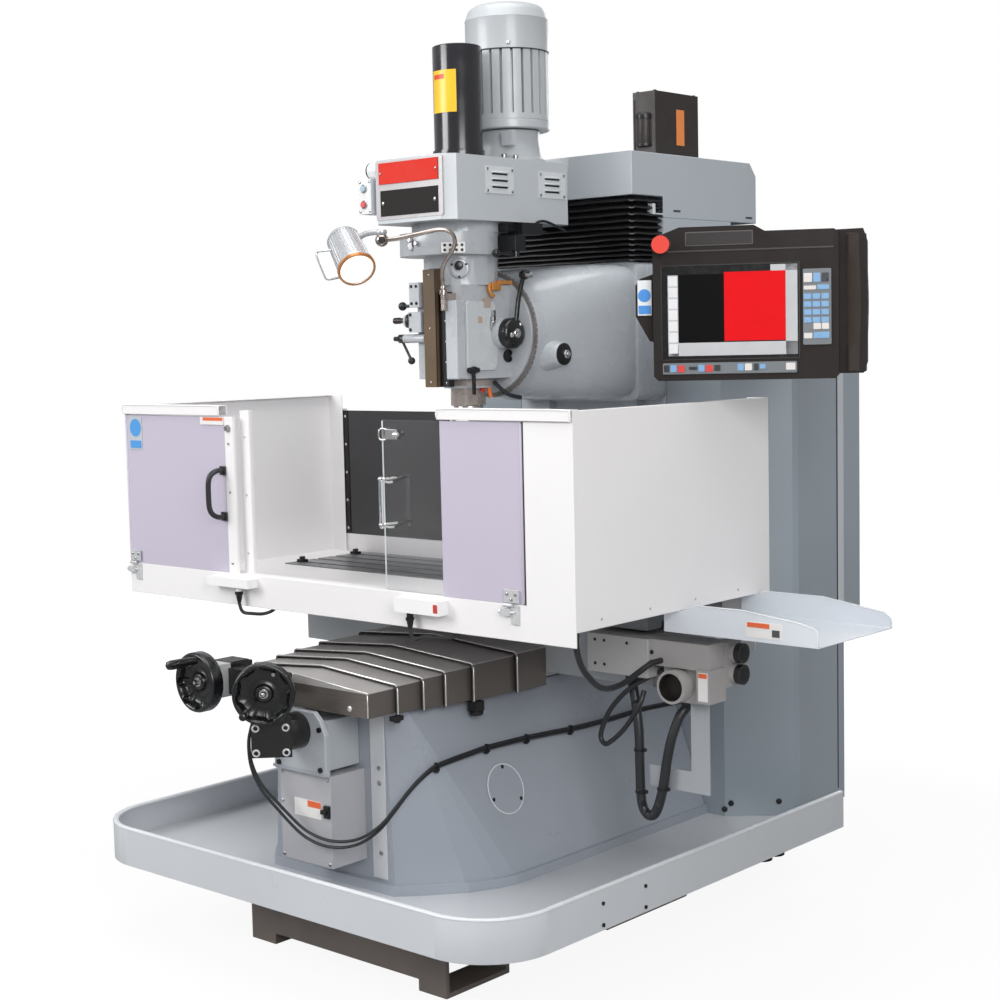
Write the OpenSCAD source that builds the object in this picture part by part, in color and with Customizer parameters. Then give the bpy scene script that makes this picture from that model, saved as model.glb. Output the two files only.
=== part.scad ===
// CNC bed milling machine: a head that rises on a column, a table that crosses a
// saddle on a cast bed, a sheet guard round the table and a swinging control pendant.
// Origin: on the floor, straight below the spindle axis. +Y points to the column.

/* [Plinth and chip pan] */
// Width of the plinth the bed stands on
plinth_w = 800; // [700:10:960]
// Front face of the plinth
plinth_front = -575; // [-640:5:-520]
// Depth of the hollow front beam of the plinth
beam_d = 257; // [200:1:320]
// Width of the fork slot under the front beam
fork_w = 588; // [480:4:660]
// Height of the fork slot
fork_h = 32; // [20:1:45]
// Width of the chip pan
pan_w = 1652; // [1500:1:1990]
// Front edge of the chip pan
pan_front = -849; // [-960:1:-760]
// Underside of the chip pan above the floor
pan_z = 243; // [200:1:292]
// Height of the chip pan's wall
pan_h = 113; // [90:1:140]
// Radius of the pan's front corners
pan_r = 199; // [120:1:240]
// Width of the rolled rim of the pan
rim_w = 16; // [8:1:30]

/* [Bed and saddle] */
// Width across the top of the bed casting
bed_w = 524; // [500:4:600]
// Extra width of the bed at its foot, each side
bed_flare = 168; // [100:2:200]
// Front face of the bed casting
bed_front = -600; // [-630:1:-570]
// Height of the seat that carries the bed ways
bed_z = 765; // [740:1:790]
// Width of one bed way
way_w = 80; // [60:2:96]
// Distance from the centre plane to the inner side of a bed way
way_in = 150; // [120:2:160]
// Thickness of the saddle wings
wing_t = 155; // [120:1:160]
// Width of the saddle
saddle_w = 1410; // [1170:5:1500]

/* [Table and guard] */
// Length of the table
table_l = 1474; // [1220:1:1600]
// Width of the table
table_w = 356; // [300:2:420]
// Height of the table's working face
table_z = 1053; // [1030:1:1070]
// Thickness of the table
table_t = 85; // [70:1:95]
// Width of the T-slot necks
slot_w = 16; // [12:1:22]
// Distance between neighbouring T-slots
slot_pitch = 80; // [60:2:90]
// Width of the guard round the table
guard_w = 1786; // [1700:1:2150]
// Depth of the guard from its door plane to its rear edge
guard_d = 857; // [800:1:1020]
// Top edge of the guard
guard_top = 1587; // [1500:1:1600]
// Sheet thickness of the guard
sheet = 4; // [2:0.5:5]
// Lower edge of the front apron
apron_z0 = 1008; // [996:1:1020]
// Upper edge of the front apron, where the doors stand
apron_z1 = 1101; // [1080:1:1130]
// Width of the hinged left door
ldoor_w = 510; // [420:2:540]
// Width of the hinged right door
rdoor_w = 276; // [220:2:300]
// Width of the sliding clear door
cdoor_w = 603; // [560:1:640]

/* [Column] */
// Front face of the column
col_front = 590; // [590:1:680]
// Width of the column casting and its top cover
col_w = 600; // [560:4:640]
// Overall width of the side cabinets
cab_w = 1366; // [1130:1:1400]
// Height of the side cabinets above the floor
cab_top = 2060; // [1980:1:2080]
// Rear face of the side cabinets
cab_rear = 1014; // [980:1:1060]
// Front underside of the column's top cover
cover_z0 = 2195; // [2180:1:2240]
// Top of the column's top cover
cover_z1 = 2327; // [2300:1:2400]

/* [Head] */
// Underside of the ram that carries the head
ram_z0 = 1565; // [1540:1:1590]
// Height of the ram
ram_h = 430; // [380:1:440]
// Front of the ram's slide block
ram_front = 430; // [400:1:480]
// Radius of the quill
quill_r = 52; // [40:1:60]
// Radius of the spindle where it runs in the quill
spindle_r = 36; // [26:1:40]
// Running clearance of turning and sliding fits
fit = 0.05; // [0.02:0.01:0.1]
// Width of the belt housing
belt_w = 320; // [290:2:350]
// Height of the belt housing
belt_h = 184; // [150:1:210]
// Radius of the main motor
motor_r = 124; // [100:1:140]
// Radius of the drawbar cover
drawbar_r = 72; // [55:1:80]

/* [Controls] */
// Radius of the two handwheels
wheel_r = 83; // [70:1:95]
// Width of the pendant's face
pendant_w = 476; // [420:2:560]
// Height of the pendant's face
pendant_h = 380; // [340:2:440]
// Depth of the pendant's housing
pendant_d = 120; // [90:1:150]
// Angle the pendant is turned out from the front of the machine
pendant_turn = 28.5; // [0:0.5:45]

/* [Hidden] */
$fn = 48;

// Blocks between two corners and rods along each axis
module blk(x0, x1, y0, y1, z0, z1) translate([x0, y0, z0]) cube([x1 - x0, y1 - y0, z1 - z0]);
module rod_x(x0, x1, y, z, r) translate([x0, y, z]) rotate([0, 90, 0]) cylinder(h = x1 - x0, r = r);
module rod_y(y0, y1, x, z, r) translate([x, y0, z]) rotate([-90, 0, 0]) cylinder(h = y1 - y0, r = r);
module rod_z(z0, z1, x, y, r) translate([x, y, z0]) cylinder(h = z1 - z0, r = r);
// Plates cut from an outline in XZ, YZ or XY
module plate_xz(pts, y0, y1) translate([0, y1, 0]) rotate([90, 0, 0]) linear_extrude(y1 - y0) polygon(pts);
module plate_yz(pts, x0, x1) translate([x0, 0, 0]) rotate([90, 0, 90]) linear_extrude(x1 - x0) polygon(pts);
module plate_xy(pts, z0, z1) translate([0, 0, z0]) linear_extrude(z1 - z0) polygon(pts);
module both() { children(); mirror([1, 0, 0]) children(); }

// A round cord swept through a few points; each ring faces the mean direction
function unit(v) = v / norm(v);
function way_dir(p, i) = unit(p[min(i + 1, len(p) - 1)] - p[max(i - 1, 0)]);
function carry(p, i) = let (d = way_dir(p, i), q = i == 0 ? cross(d, abs(d[2]) > 0.9 ? [0, 1, 0] : [0, 0, 1]) : carry(p, i - 1))
  unit(q - (q * d) * d);
function ring(p, i, r, n) = let (d = way_dir(p, i), a = carry(p, i), b = cross(d, a))
  [for (k = [0 : n - 1]) p[i] + r * (cos(360 * k / n) * a + sin(360 * k / n) * b)];
module cord(p, r, n = 8) {
  m = len(p);
  polyhedron(points = [for (i = [0 : m - 1]) each ring(p, i, r, n)],
    faces = concat([[for (k = [0 : n - 1]) k]],
      [for (i = [0 : m - 2], k = [0 : n - 1]) let (a = i * n, q = (k + 1) % n) [a + k, a + n + k, a + n + q]],
      [for (i = [0 : m - 2], k = [0 : n - 1]) let (a = i * n, q = (k + 1) % n) [a + k, a + n + q, a + q]],
      [[for (k = [n - 1 : -1 : 0]) (m - 1) * n + k]]));
}

// Heights and faces that several pieces share
pan_floor = pan_z + 19;
pan_rear = 765;
foot_z = pan_floor + 27;
bed_rear = 588;
way_z = bed_z + 50;
wing_z1 = 955;
rail_z = wing_z1 + 30;
saddle_y0 = -42;
guard_front = -600;
guard_back = guard_front + guard_d;
saddle_y1 = guard_back + 5;
table_z0 = table_z - table_t;
table_back = guard_back - 6;
table_front = table_back - table_w;
tray_z = 1046;
splash_z = 1110;
plinth_x = plinth_w / 2;
beam_rear = plinth_front + beam_d;
guard_x = guard_w / 2;
door_z0 = apron_z1 + 0.3;
door_z1 = guard_top - 29;
door_t = 6;
hinge_r = 3.5;
ldoor_x0 = -guard_x + 9;
ldoor_x1 = ldoor_x0 + ldoor_w;
rdoor_x1 = guard_x - 167;
rdoor_x0 = rdoor_x1 - rdoor_w;
cdoor_x0 = rdoor_x0 - 223;
ram_z1 = ram_z0 + ram_h;
swivel_z = ram_z0 + ram_h / 2;
head_x = 95;
head_y0 = -110;
head_y1 = 88;
head_z0 = 1650;
head_z1 = 1990;
belt_z0 = 2106;
belt_z1 = belt_z0 + belt_h;
motor_y = 211;
nose_z = 1555;
boss_z = 1622;
collar_z = 2012;
hub_x = 129;
hub_y = 40;
hub_z = 1781;
mount_x = 30;
// The front wheel's unit stands at 45 degrees, the left one faces the front
unit_x = 40;
unit_y = -868;
left_x = -218;
left_y = -857;
wheel_z = 845;
wheel_t = 38;
wheel_gap = 5;
grip_x = 15;
grip_z = 64;
shaft_r = 8;

module plinth() color("dimgray") difference() {
  union() {
    blk(-plinth_x, plinth_x, plinth_front, beam_rear, 0, pan_z);
    both() blk(plinth_x - 90, plinth_x, beam_rear, 960, 150, pan_z);
    both() blk(plinth_x - 90, plinth_x, 120, 530, 0, 151);
    for (y = [150, 600]) blk(-plinth_x + 90, plinth_x - 90, y, y + 100, 170, pan_z);
    blk(-plinth_x - 20, plinth_x + 20, 960, 1110, 60, pan_floor);
  }
  blk(-fork_w / 2, fork_w / 2, plinth_front - 1, beam_rear + 1, -1, fork_h);
  blk(-plinth_x - 1, plinth_x + 1, plinth_front + 14, beam_rear - 14, 14, pan_z - 50);
}

module level_foot(x, y, z) {
  rod_z(0, 14, x, y, 38);
  rod_z(14, z, x, y, 12);
  rod_z(z - 26, z - 10, x, y, 20);
}
module level_feet() color("black") {
  for (x = [-1, 1], y = [1000, 1075]) level_foot(x * (plinth_x - 30), y, 60);
}

module pan_outline(i) {
  w = pan_w / 2;
  translate([-w + i, pan_front + pan_r]) square([2 * w - 2 * i, pan_rear - pan_front - pan_r]);
  translate([-w + pan_r, pan_front + i]) square([2 * w - 2 * pan_r, pan_r]);
  for (s = [-1, 1]) translate([s * (w - pan_r), pan_front + pan_r]) circle(pan_r - i, $fn = 96);
}
module chip_pan() color("silver") difference() {
  translate([0, 0, pan_z]) linear_extrude(pan_h) pan_outline(0);
  translate([0, 0, pan_floor]) linear_extrude(pan_h) pan_outline(rim_w);
  translate([0, 0, pan_floor]) linear_extrude(pan_z + pan_h - 8 - pan_floor) pan_outline(5);
  blk(-cab_w / 2 - 1, cab_w / 2 + 1, pan_rear - 30, pan_rear + 1, pan_floor, pan_z + pan_h + 1);
}

// Flared casting: a wide foot, sloping sides and a flat seat for the ways
// Share of the flare along the bed's foot, from the front corner back
flare_line = [[0.65, -460], [0.88, -380], [0.985, -320], [1, -250]];
function bed_foot(k) = [[-bed_w / 2 + 20, bed_front - k], [bed_w / 2 - 20, bed_front - k],
  [bed_w / 2 + 28 + k, bed_front + 45], for (p = flare_line) [bed_w / 2 + bed_flare * p[0] + k, p[1]],
  [bed_w / 2 + bed_flare + k, bed_rear], [-bed_w / 2 - bed_flare - k, bed_rear],
  for (i = [len(flare_line) - 1 : -1 : 0]) [-bed_w / 2 - bed_flare * flare_line[i][0] - k, flare_line[i][1]], [-bed_w / 2 - 28 - k, bed_front + 45]];
module base_casting() color("silver") {
  plate_xy(bed_foot(12), pan_floor, foot_z);
  hull() {
    plate_xy(bed_foot(0), foot_z - 1, foot_z);
    plate_xy([[-bed_w / 2 + 45, bed_front], [bed_w / 2 - 45, bed_front], [bed_w / 2, bed_front + 45], [bed_w / 2, bed_rear],
      [-bed_w / 2, bed_rear], [-bed_w / 2, bed_front + 45]], bed_z - 1, bed_z);
  }
  both() blk(way_in, way_in + way_w, bed_front + 29, bed_rear, bed_z - 1, way_z);
  hatch_a = atan2(bed_z - foot_z, bed_flare);
  translate([bed_w / 2 + (bed_z - 506) * bed_flare / (bed_z - foot_z), -268, 506])
    rotate([0, hatch_a, 0]) translate([0, 0, -8]) cylinder(h = 11, r = 70);
}

module column_casting() color("silver") {
  blk(-col_w / 2, col_w / 2, col_front, 960, pan_floor, cover_z0 - 65);
  both() blk(150, 210, col_front - 34, col_front, 1190, cover_z0 - 65);
  rod_z(cover_z0 - 65, cover_z1 - 50, 0, 740, 60);
}

// Sheet cabinet on each side with a folded corner, and the electrical box behind
function cab_plan(i) = [[col_w / 2 + 2 + i, col_front + i], [col_w / 2 + 207 - i * 0.4, col_front + i],
  [cab_w / 2 - 9 - i * 1.4, 728 + i * 0.4], [cab_w / 2 - i, 745], [cab_w / 2 - i, cab_rear - i], [col_w / 2 + 2 + i, cab_rear - i]];
module cabinets() color("silver") {
  both() difference() {
    plate_xy(cab_plan(0), pan_floor, cab_top);
    plate_xy(cab_plan(3), pan_floor - 1, cab_top - 3);
  }
  difference() {
    blk(-cab_w / 2, cab_w / 2, cab_rear, cab_rear + 102, 772, 1980);
    blk(-cab_w / 2 + 3, cab_w / 2 - 3, cab_rear + 3, cab_rear + 99, 775, 1977);
  }
  blk(-col_w / 2, col_w / 2, 960, cab_rear, pan_floor, cab_top);
  blk(cab_w / 2, arm_a[0], arm_a[1] - 30, arm_a[1] + 30, arm_z - 34, arm_z - 0.3);
  rod_z(arm_z - 34, arm_z - 0.3, arm_a[0], arm_a[1], 32);
  rod_z(arm_z - 1, arm_z + 58, arm_a[0], arm_a[1], pin_r);
}

arm_a = [745, 800];
arm_z = 1820;
pin_r = 15;
module top_cover() color("silver") difference() {
  plate_yz([[ram_front, cover_z0], [col_front, cover_z0], [col_front, cover_z0 - 65], [1111, cover_z0 - 65],
    [1111, cover_z1 - 42], [1075, cover_z1], [ram_front, cover_z1]], -col_w / 2, col_w / 2);
  plate_yz([[ram_front + 3, cover_z0 + 3], [col_front, cover_z0 + 3], [col_front, cover_z0 - 66], [1108, cover_z0 - 66],
    [1108, cover_z1 - 43], [1073, cover_z1 - 3], [ram_front + 3, cover_z1 - 3]], -col_w / 2 + 3, col_w / 2 - 3);
}

module z_motor() color([0.12, 0.11, 0.11]) difference() {
  union() {
    blk(60, 150, 757, 996, cover_z1, cover_z1 + 226);
    rod_z(cover_z1 + 60, cover_z1 + 150, 104, 762, 28);
  }
  blk(66, 78, 756, 760, cover_z1 + 40, cover_z1 + 200);
}

// Telescopic way cover: each section is larger than the one in front of it
cover_n = 5;
function sec_w(k) = bed_w / 2 + 19 + 8 * k;
function sec_z(k) = bed_z + 79 + 6 * k;
function sec_top(k, i) = [[-sec_w(k) + i, sec_z(k) - i], [0, sec_z(k) + 22 - i], [sec_w(k) - i, sec_z(k) - i]];
module section(k, y0, y1) {
  bot = bed_z + 11 - 3 * k;
  plate_xz(concat([[-sec_w(k), bot]], sec_top(k, 0), [[sec_w(k), bot], [sec_w(k) - 2, bot]],
    [[sec_w(k) - 2, sec_z(k) - 2], [0, sec_z(k) + 20], [-sec_w(k) + 2, sec_z(k) - 2], [-sec_w(k) + 2, bot]]), y0, y1);
  plate_xz(concat([[-sec_w(k) - 2, bot]], sec_top(k, -2), [[sec_w(k) + 2, bot], [sec_w(k) - 1, bot]],
    [[sec_w(k) - 1, sec_z(k) - 1], [0, sec_z(k) + 21], [-sec_w(k) + 1, sec_z(k) - 1], [-sec_w(k) + 1, bot]]), y0, y0 + 4);
}
// The bulkhead at the back of a moving section slides on the bed ways
module bulkhead(k, y, z0) plate_xz(concat([[-way_in - way_w, z0]], [[-way_in - way_w, sec_z(k)]],
  sec_top(k, 1), [[way_in + way_w, sec_z(k)], [way_in + way_w, z0]]), y - 3, y);
module way_cover_front() color("lightsteelblue") {
  section(0, -722, -535);
  plate_xz(concat([[-sec_w(0), bed_z + 11]], sec_top(0, 0), [[sec_w(0), bed_z + 11]]), -722, -720);
  difference() {
    bulkhead(0, -535, bed_z);
    both() blk(way_in - 2, way_in + way_w + 2, -540, -530, bed_z - 1, way_z + 2);
  }
}
module moving_section(k, y0, y1) color("lightsteelblue") {
  section(k, y0, y1);
  bulkhead(k, y1, way_z + 0.3);
}
module way_cover_2() moving_section(1, -624, -449);
module way_cover_3() moving_section(2, -533, -368);
module way_cover_4() moving_section(3, -455, -265);
module way_cover_5() moving_section(4, -350, -95);
module way_cover_rear() color("lightsteelblue") section(5, -175, saddle_y0);

module front_box() color("silver") difference() {
  blk(-70, 134, -729, bed_front, 345, 600);
  blk(-67, 131, -726, bed_front - 3, 348, 597);
}
module drive_bracket() color("silver") {
  plate_xz([[-72, 600], [136, 600], [136, 715], [118, 752], [92, 775], [-30, 775], [-72, 752]], -745, -729);
  blk(-55, 115, -729, bed_front, 610, 750);
}
module front_unit() translate([unit_x, unit_y, 0]) rotate([0, 0, 45]) children();
module handwheel_mount() color([0.13, 0.12, 0.12]) {
  rod_y(-815, -745, mount_x, 720, 50);
  front_unit() {
    plate_xz([[-40, 667], [68, 667], [68, 775], [50, 800], [50, 889], [-50, 889], [-50, 800], [-40, 775]], 0, 8);
    blk(-44, 44, 7, 64, 801, 889);
    blk(-28, 52, 7, 60, 684, 802);
    rod_y(-wheel_gap - wheel_t + 4, 1, 0, wheel_z, shaft_r);
  }
  blk(left_x + 43, 24, -815, -756, 806, 878);
  blk(left_x - 43, left_x + 43, -798, -726, wheel_z - 43, wheel_z + 43);
  blk(left_x - 45, left_x + 45, left_y, -797, wheel_z - 45, wheel_z + 45);
  rod_y(left_y - wheel_gap - wheel_t + 4, left_y + 1, left_x, wheel_z, shaft_r);
  rod_z(770, 807, -100, -790, 12);
}

module cap_x(x, y, z, r) rod_x(x, x + r * 0.8, y, z, r);
module cap_y(y, x, z, r) rod_y(y - r * 0.8, y, x, z, r);
module fasteners() color("black") {
  front_unit() for (x = [-27, 53], z = [681, 748]) cap_y(0, x, z, 7);
  for (x = [-52, 116], z = [620, 730]) cap_y(-745, x, z, 7);
  for (y = [-431, -250], z = [pan_z + 15, pan_z + 72]) cap_x(pan_w / 2, y, z, 5);
}

base_run = [[-100, -790, 769.7], [-100, -790, 745], [-98, -812, 690], [-92, -812, 620], [-66, -800, 557], [-15, -785, 506],
  [46, -765, 451], [95, -757, 431], [145, -748, 424], [196, -733, 428], [236, -708, 443], [266, -672, 474], [286, -636, 517],
  [303, -600, 560], [315, -562, 592], [320, -520, 611], [325, -460, 620], [329, -380, 626], [330, -315, 629], [332, -147, 626],
  [334, 49, 616], [336, 184, 613], [338, 300, 614], [345, 380, 618], [375, 450, 624], [430, 520, 636], [450, 555, 640],
  [450, 590, 640]];
module base_cable() color([0.08, 0.08, 0.09]) cord(base_run, 8);

module saddle() color("silver") difference() {
  union() {
    blk(-280, 280, saddle_y0, saddle_y1 + 20, bed_z + 10, wing_z1);
    blk(-saddle_w / 2, saddle_w / 2, saddle_y0, saddle_y1, wing_z1 - wing_t, wing_z1);
    for (y = rail_y) blk(105 - saddle_w / 2, saddle_w / 2 - 105, y, y + 50, wing_z1 - 1, rail_z);
  }
  both() blk(way_in - fit, way_in + way_w + fit, saddle_y0 - 1, saddle_y1 + 21, bed_z, way_z + fit);
}
rail_y = [table_front + 65, table_back - 101];
// What hangs on the saddle's right end moves with that end
module on_saddle_end() translate([saddle_w / 2 - 705, 0, 0]) children();

module junction_box() color("silver") on_saddle_end() difference() {
  blk(560, 771, -150, saddle_y0, 848, 955);
  blk(563, 768, -147, saddle_y0 - 3, 851, 952);
}
module x_drive() color("silver") on_saddle_end() {
  blk(705, 800, -40, 60, 800, 954);
  blk(790, 812, -50, 50, 802, 952);
  blk(771, 960, -139, -38, 885, 955);
  blk(802, 926, -120, -36, 790, 887);
  difference() {
    rod_y(-164, -110, 854, 836, 45);
    rod_y(-165, -135, 854, 836, 37);
  }
  blk(924, 966, -145, -70, 799, 889);
  blk(924, 970, -72, -2, 834, 953);
  for (z = [924, 867]) rod_x(965, 1002, -37, z, 27);
}
module cable_bracket() color("silver") on_saddle_end() {
  plate_xz([[734, 543], [935, 543], [935, 799], [926, 799], [926, 790], [875, 790], [875, 600], [734, 600]], -103, -100);
  blk(875, 926, -100, -80, 786, 790);
}

splash_x = 840;
module splash_frame() color("white") {
  difference() {
    blk(-splash_x, splash_x, saddle_y1, saddle_y1 + 3, 870, splash_z);
    blk(-280.3, 280.3, saddle_y1 - 1, saddle_y1 + 4, 869, wing_z1 + 0.3);
  }
  both() {
    blk(splash_x - 8, splash_x, saddle_y1, saddle_y1 + 22, splash_z - 1, 1540);
    blk(318, 326, saddle_y1, saddle_y1 + 22, splash_z - 1, 1540);
  }
}
module splash_windows() color([0.15, 0.15, 0.16])
  both() blk(326, splash_x - 8, saddle_y1, saddle_y1 + 5, splash_z, 1534);

conduit_run = [[676, -95, 848], [676, -95, 815], [690, -102, 772], [708, -112, 690], [713, -117, 600], [716, -118, 522],
  [724, -120, 484], [742, -121, 464], [764, -122, 470], [780, -122, 500], [795, -122, 550], [808, -122, 620], [822, -118, 686],
  [836, -100, 744], [845, -80, 768], [846, -76, 780], [846, -76, 789.7]];
module saddle_conduit() color([0.08, 0.08, 0.09]) on_saddle_end() cord(conduit_run, 14);

module table() color([0.5, 0.5, 0.5]) difference() {
  blk(-table_l / 2, table_l / 2, table_front, table_back, table_z0, table_z);
  for (i = [-1.5 : 1 : 1.5]) {
    yc = (table_front + table_back) / 2 + i * slot_pitch;
    blk(-table_l, table_l, yc - slot_w / 2, yc + slot_w / 2, table_z - 26, table_z + 1);
    blk(-table_l, table_l, yc - slot_w * 0.85, yc + slot_w * 0.85, table_z - 36, table_z - 24);
  }
  for (y = rail_y) blk(-table_l, table_l, y - fit, y + 50 + fit, table_z0 - 1, rail_z + fit);
}

module hood(x0, x1) difference() {
  blk(x0, x1, guard_front - 8, guard_front + 24, door_z1 + 3, guard_top + 3);
  blk(x0 - 1, x1 + 1, guard_front - 5, guard_front + 21, door_z1, guard_top);
}
module guard() color("white") {
  blk(-guard_x, guard_x, guard_front, guard_front + sheet, apron_z0, apron_z1);
  blk(-guard_x, guard_x, guard_front, guard_front + 40, apron_z1 - 3, apron_z1);
  both() {
    blk(guard_x - sheet, guard_x, guard_front, guard_back, tray_z, guard_top);
    blk(guard_x - 22, guard_x, guard_front + 30, guard_back, guard_top - 3, guard_top);
    blk(guard_x - 68, guard_x, guard_back - sheet, guard_back, tray_z, guard_top);
    blk(table_l / 2, guard_x - sheet, table_front, guard_back, tray_z, tray_z + sheet);
  }
  blk(-guard_x, guard_x, guard_front + sheet, table_front, tray_z, tray_z + sheet);
  blk(rdoor_x1 + 8, guard_x, guard_front, guard_front + sheet, apron_z1, door_z1 + 2.5);
  blk(ldoor_x1, ldoor_x1 + 40, guard_front + 25, guard_front + 37, apron_z1 - 1, guard_top - 12);
  hood(-guard_x, ldoor_x1 - 54);
  hood(rdoor_x0 - 3, guard_x);
}
chute_z = rail_z + 2;
module chip_chute() color("silver") {
  x = guard_x - 51;
  blk(x, x + 469, -170, 190, chute_z, chute_z + 3);
  plate_xz([[x, chute_z], [x + 469, chute_z], [x + 469, 1024], [x + 462, 1034], [x + 408, 1046], [x + 243, 1063], [x + 104, 1063],
    [x + 56, tray_z], [x, tray_z]], -173, -170);
  plate_xz([[x, chute_z], [x + 469, chute_z], [x + 469, 1012], [x + 448, 1028], [x + 262, 1054], [x + 72, 1054], [x + 56, tray_z], [x, tray_z]],
    190, 193);
}

module interlocks() color("white") {
  blk(-474, -290, guard_front - 38, guard_front, 1066, 1092);
  blk(303, 464, guard_front - 38, guard_front, 1054, 1092);
  for (x = [-350, 345]) rod_z(x < 0 ? 1052 : 1040, x < 0 ? 1066 : 1054, x, guard_front - 20, 9);
}
table_run = [[860, -560, 1045.7], [860, -560, 1000], [856, -536, 950], [842, -484, 908], [818, -420, 876],
  [796, -350, 858], [786, -280, 858], [788, -220, 876], [800, -180, 896], [806, -158, 900], [806, -139, 900]];
module table_cable() color([0.08, 0.08, 0.09]) cord(table_run, 8);

module door_panel(x0, x1) blk(x0, x1, guard_front, guard_front + door_t, door_z0, door_z1);
module left_door() color([0.8, 0.77, 0.84]) {
  door_panel(ldoor_x0, ldoor_x1);
  rod_z(door_z0 + 4, door_z1 - 4, ldoor_x0, guard_front, hinge_r);
  blk(ldoor_x1 - 36, ldoor_x1, guard_front - 3, guard_front, door_z0, door_z1);
  blk(ldoor_x0, ldoor_x0 + 44, guard_front - 4, guard_front, 1110, 1140);
}
handle_z0 = 1262;
handle_z1 = 1406;
module left_door_handle() color("black") {
  for (z = [handle_z0 + 10, handle_z1 - 10]) rod_y(guard_front - 50, guard_front - 3, ldoor_x1 - 42, z, 9);
  rod_z(handle_z0, handle_z1, ldoor_x1 - 42, guard_front - 50, 11);
}
module right_door() color([0.8, 0.77, 0.84]) {
  door_panel(rdoor_x0, rdoor_x1);
  rod_z(door_z0 + 4, door_z1 - 4, rdoor_x1, guard_front, hinge_r);
  blk(rdoor_x1 - 62, rdoor_x1 - 14, guard_front - 4, guard_front, 1106, 1136);
}
cdoor_y = guard_front + 12;
module clear_door() color([0.75, 0.85, 0.9, 0.5])
  blk(cdoor_x0, cdoor_x0 + cdoor_w, cdoor_y, cdoor_y + 5, door_z0, door_z1 - 2);
module clear_door_handle() color("silver") {
  for (z = [1280, 1400]) rod_y(cdoor_y - 50, cdoor_y, cdoor_x0 + 40, z, 5);
  rod_z(1270, 1410, cdoor_x0 + 40, cdoor_y - 50, 6);
  blk(cdoor_x0 + 3, cdoor_x0 + 58, cdoor_y - 6, cdoor_y, 1504, 1534);
}

// Ram: slide block on the column ways and a nose that narrows to the swivel face
module ram() color("silver") difference() {
  union() {
    blk(-col_w / 2, col_w / 2, ram_front + 30, col_front - 2, ram_z0, ram_z1);
    hull() {
      blk(-col_w / 2, col_w / 2, ram_front + 28, ram_front + 30, ram_z0, ram_z1);
      blk(-col_w / 2 + 30, col_w / 2 - 30, ram_front, ram_front + 2, ram_z0 + 20, ram_z1 - 10);
    }
    rod_x(col_w / 2 - 150, 226, 178, 1716, 34);
    hull() {
      blk(-col_w / 2 + 40, col_w / 2 - 40, ram_front, ram_front + 2, ram_z0 + 25, ram_z1 - 15);
      rod_y(100.3, 112, 0, swivel_z, 190, $fn = 48);
    }
  }
  both() blk(150 - fit, 210 + fit, col_front - 34 - fit, col_front, ram_z0 - 1, ram_z1 + 1);
}

module head_casting() color("silver") difference() {
  union() {
    blk(-head_x, head_x, head_y0, head_y1, head_z0, head_z1 - 65);
    difference() {
      rod_z(head_z1 - 66, collar_z + 1, -5, -14, 110);
      blk(-36, 20, -160, head_y0 + 0.5, 1900, 1975);
    }
    rod_y(head_y1, 100, 0, swivel_z, 178);
    rod_z(collar_z, collar_z + 66, -20, -45, 147);
    rod_z(collar_z + 65, belt_z0, -5, -30, 132);
    rod_z(boss_z, head_z0, 0, 0, 72);
    rod_x(head_x, hub_x, hub_y, hub_z, 44);
    translate([-5, -14, 1972]) rotate([0, 90, -49.5]) translate([0, 0, 96]) cylinder(h = 18, r = 28);
    blk(60, 176, 28, 72, 2022, 2066);
    blk(-90, -50, -150, head_y0, 1863, 1936);
    blk(-100, -50, -145, head_y0, 1790, 1850);
    rod_x(-121, -100, -128, 1824, 20);
    rod_x(-173, -121, -128, 1826, 7);
    rod_x(-138, -50, -122, 1772, 13);
  }
  rod_z(boss_z - 1, 1960, 0, 0, quill_r + fit);
  rod_x(head_x + 4, hub_x + 1, hub_y, hub_z, 15 + fit);
}

button_z = [2168, 2214];
module belt_housing() color("silver") {
  w = belt_w / 2;
  plate_xy([[-w + 34, -233], [w - 34, -233], [w, -200], [w, 292], [w - 18, 310], [-w + 18, 310],
    [-w, 292], [-w, -200]], belt_z0, belt_z1);
  difference() {
    blk(-w - 52, -w, -226, -160, 2140, 2242);
    for (z = button_z) rod_y(-227, -217, -w - 30, z, 9 + fit);
  }
  rod_x(-w - 38, -w, -180, 2268, 25);
}
module head_motor() color("silver") {
  rod_z(belt_z1, belt_z1 + 50, 0, motor_y, 108);
  rod_z(belt_z1 + 50, belt_z1 + 103, 0, motor_y, 90);
  rod_z(belt_z1 + 103, belt_z1 + 120, 0, motor_y, motor_r);
  rod_z(belt_z1 + 120, belt_z1 + 338, 0, motor_y, motor_r - 14);
  for (a = [5 : 15 : 355]) translate([0, motor_y, belt_z1 + 119]) rotate([0, 0, a])
    translate([motor_r - 20, -2.5, 0]) cube([19, 5, 220]);
  translate([0, motor_y, belt_z1 + 338]) rotate_extrude($fn = 64) {
    square([motor_r + 3, 120]);
    translate([0, 120]) square([motor_r - 22, 25]);
    intersection() {
      translate([motor_r - 22, 120]) circle(25);
      square([motor_r + 10, 150]);
    }
  }
}
module drawbar_cover() color("black") {
  rod_z(belt_z1, belt_z1 + 30, 0, -15, drawbar_r + 5);
  rod_z(belt_z1 + 30, belt_z1 + 331, 0, -15, drawbar_r);
}
module louvre(y0, z0) difference() {
  blk(belt_w / 2, belt_w / 2 + 2, y0, y0 + 124, z0, z0 + 78);
  for (k = [0 : 2]) blk(belt_w / 2 - 1, belt_w / 2 + 3, y0 + 28, y0 + 96, z0 + 16 + 19 * k, z0 + 22 + 19 * k);
}
module head_plates() color([0.8, 0.2, 0.15]) {
  blk(-116, 122, -236, -233, 2219, 2280);
  blk(-112, 120, -236, -233, 2127, 2201);
  louvre(-80, 2184);
  louvre(156, 2181);
}
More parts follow.
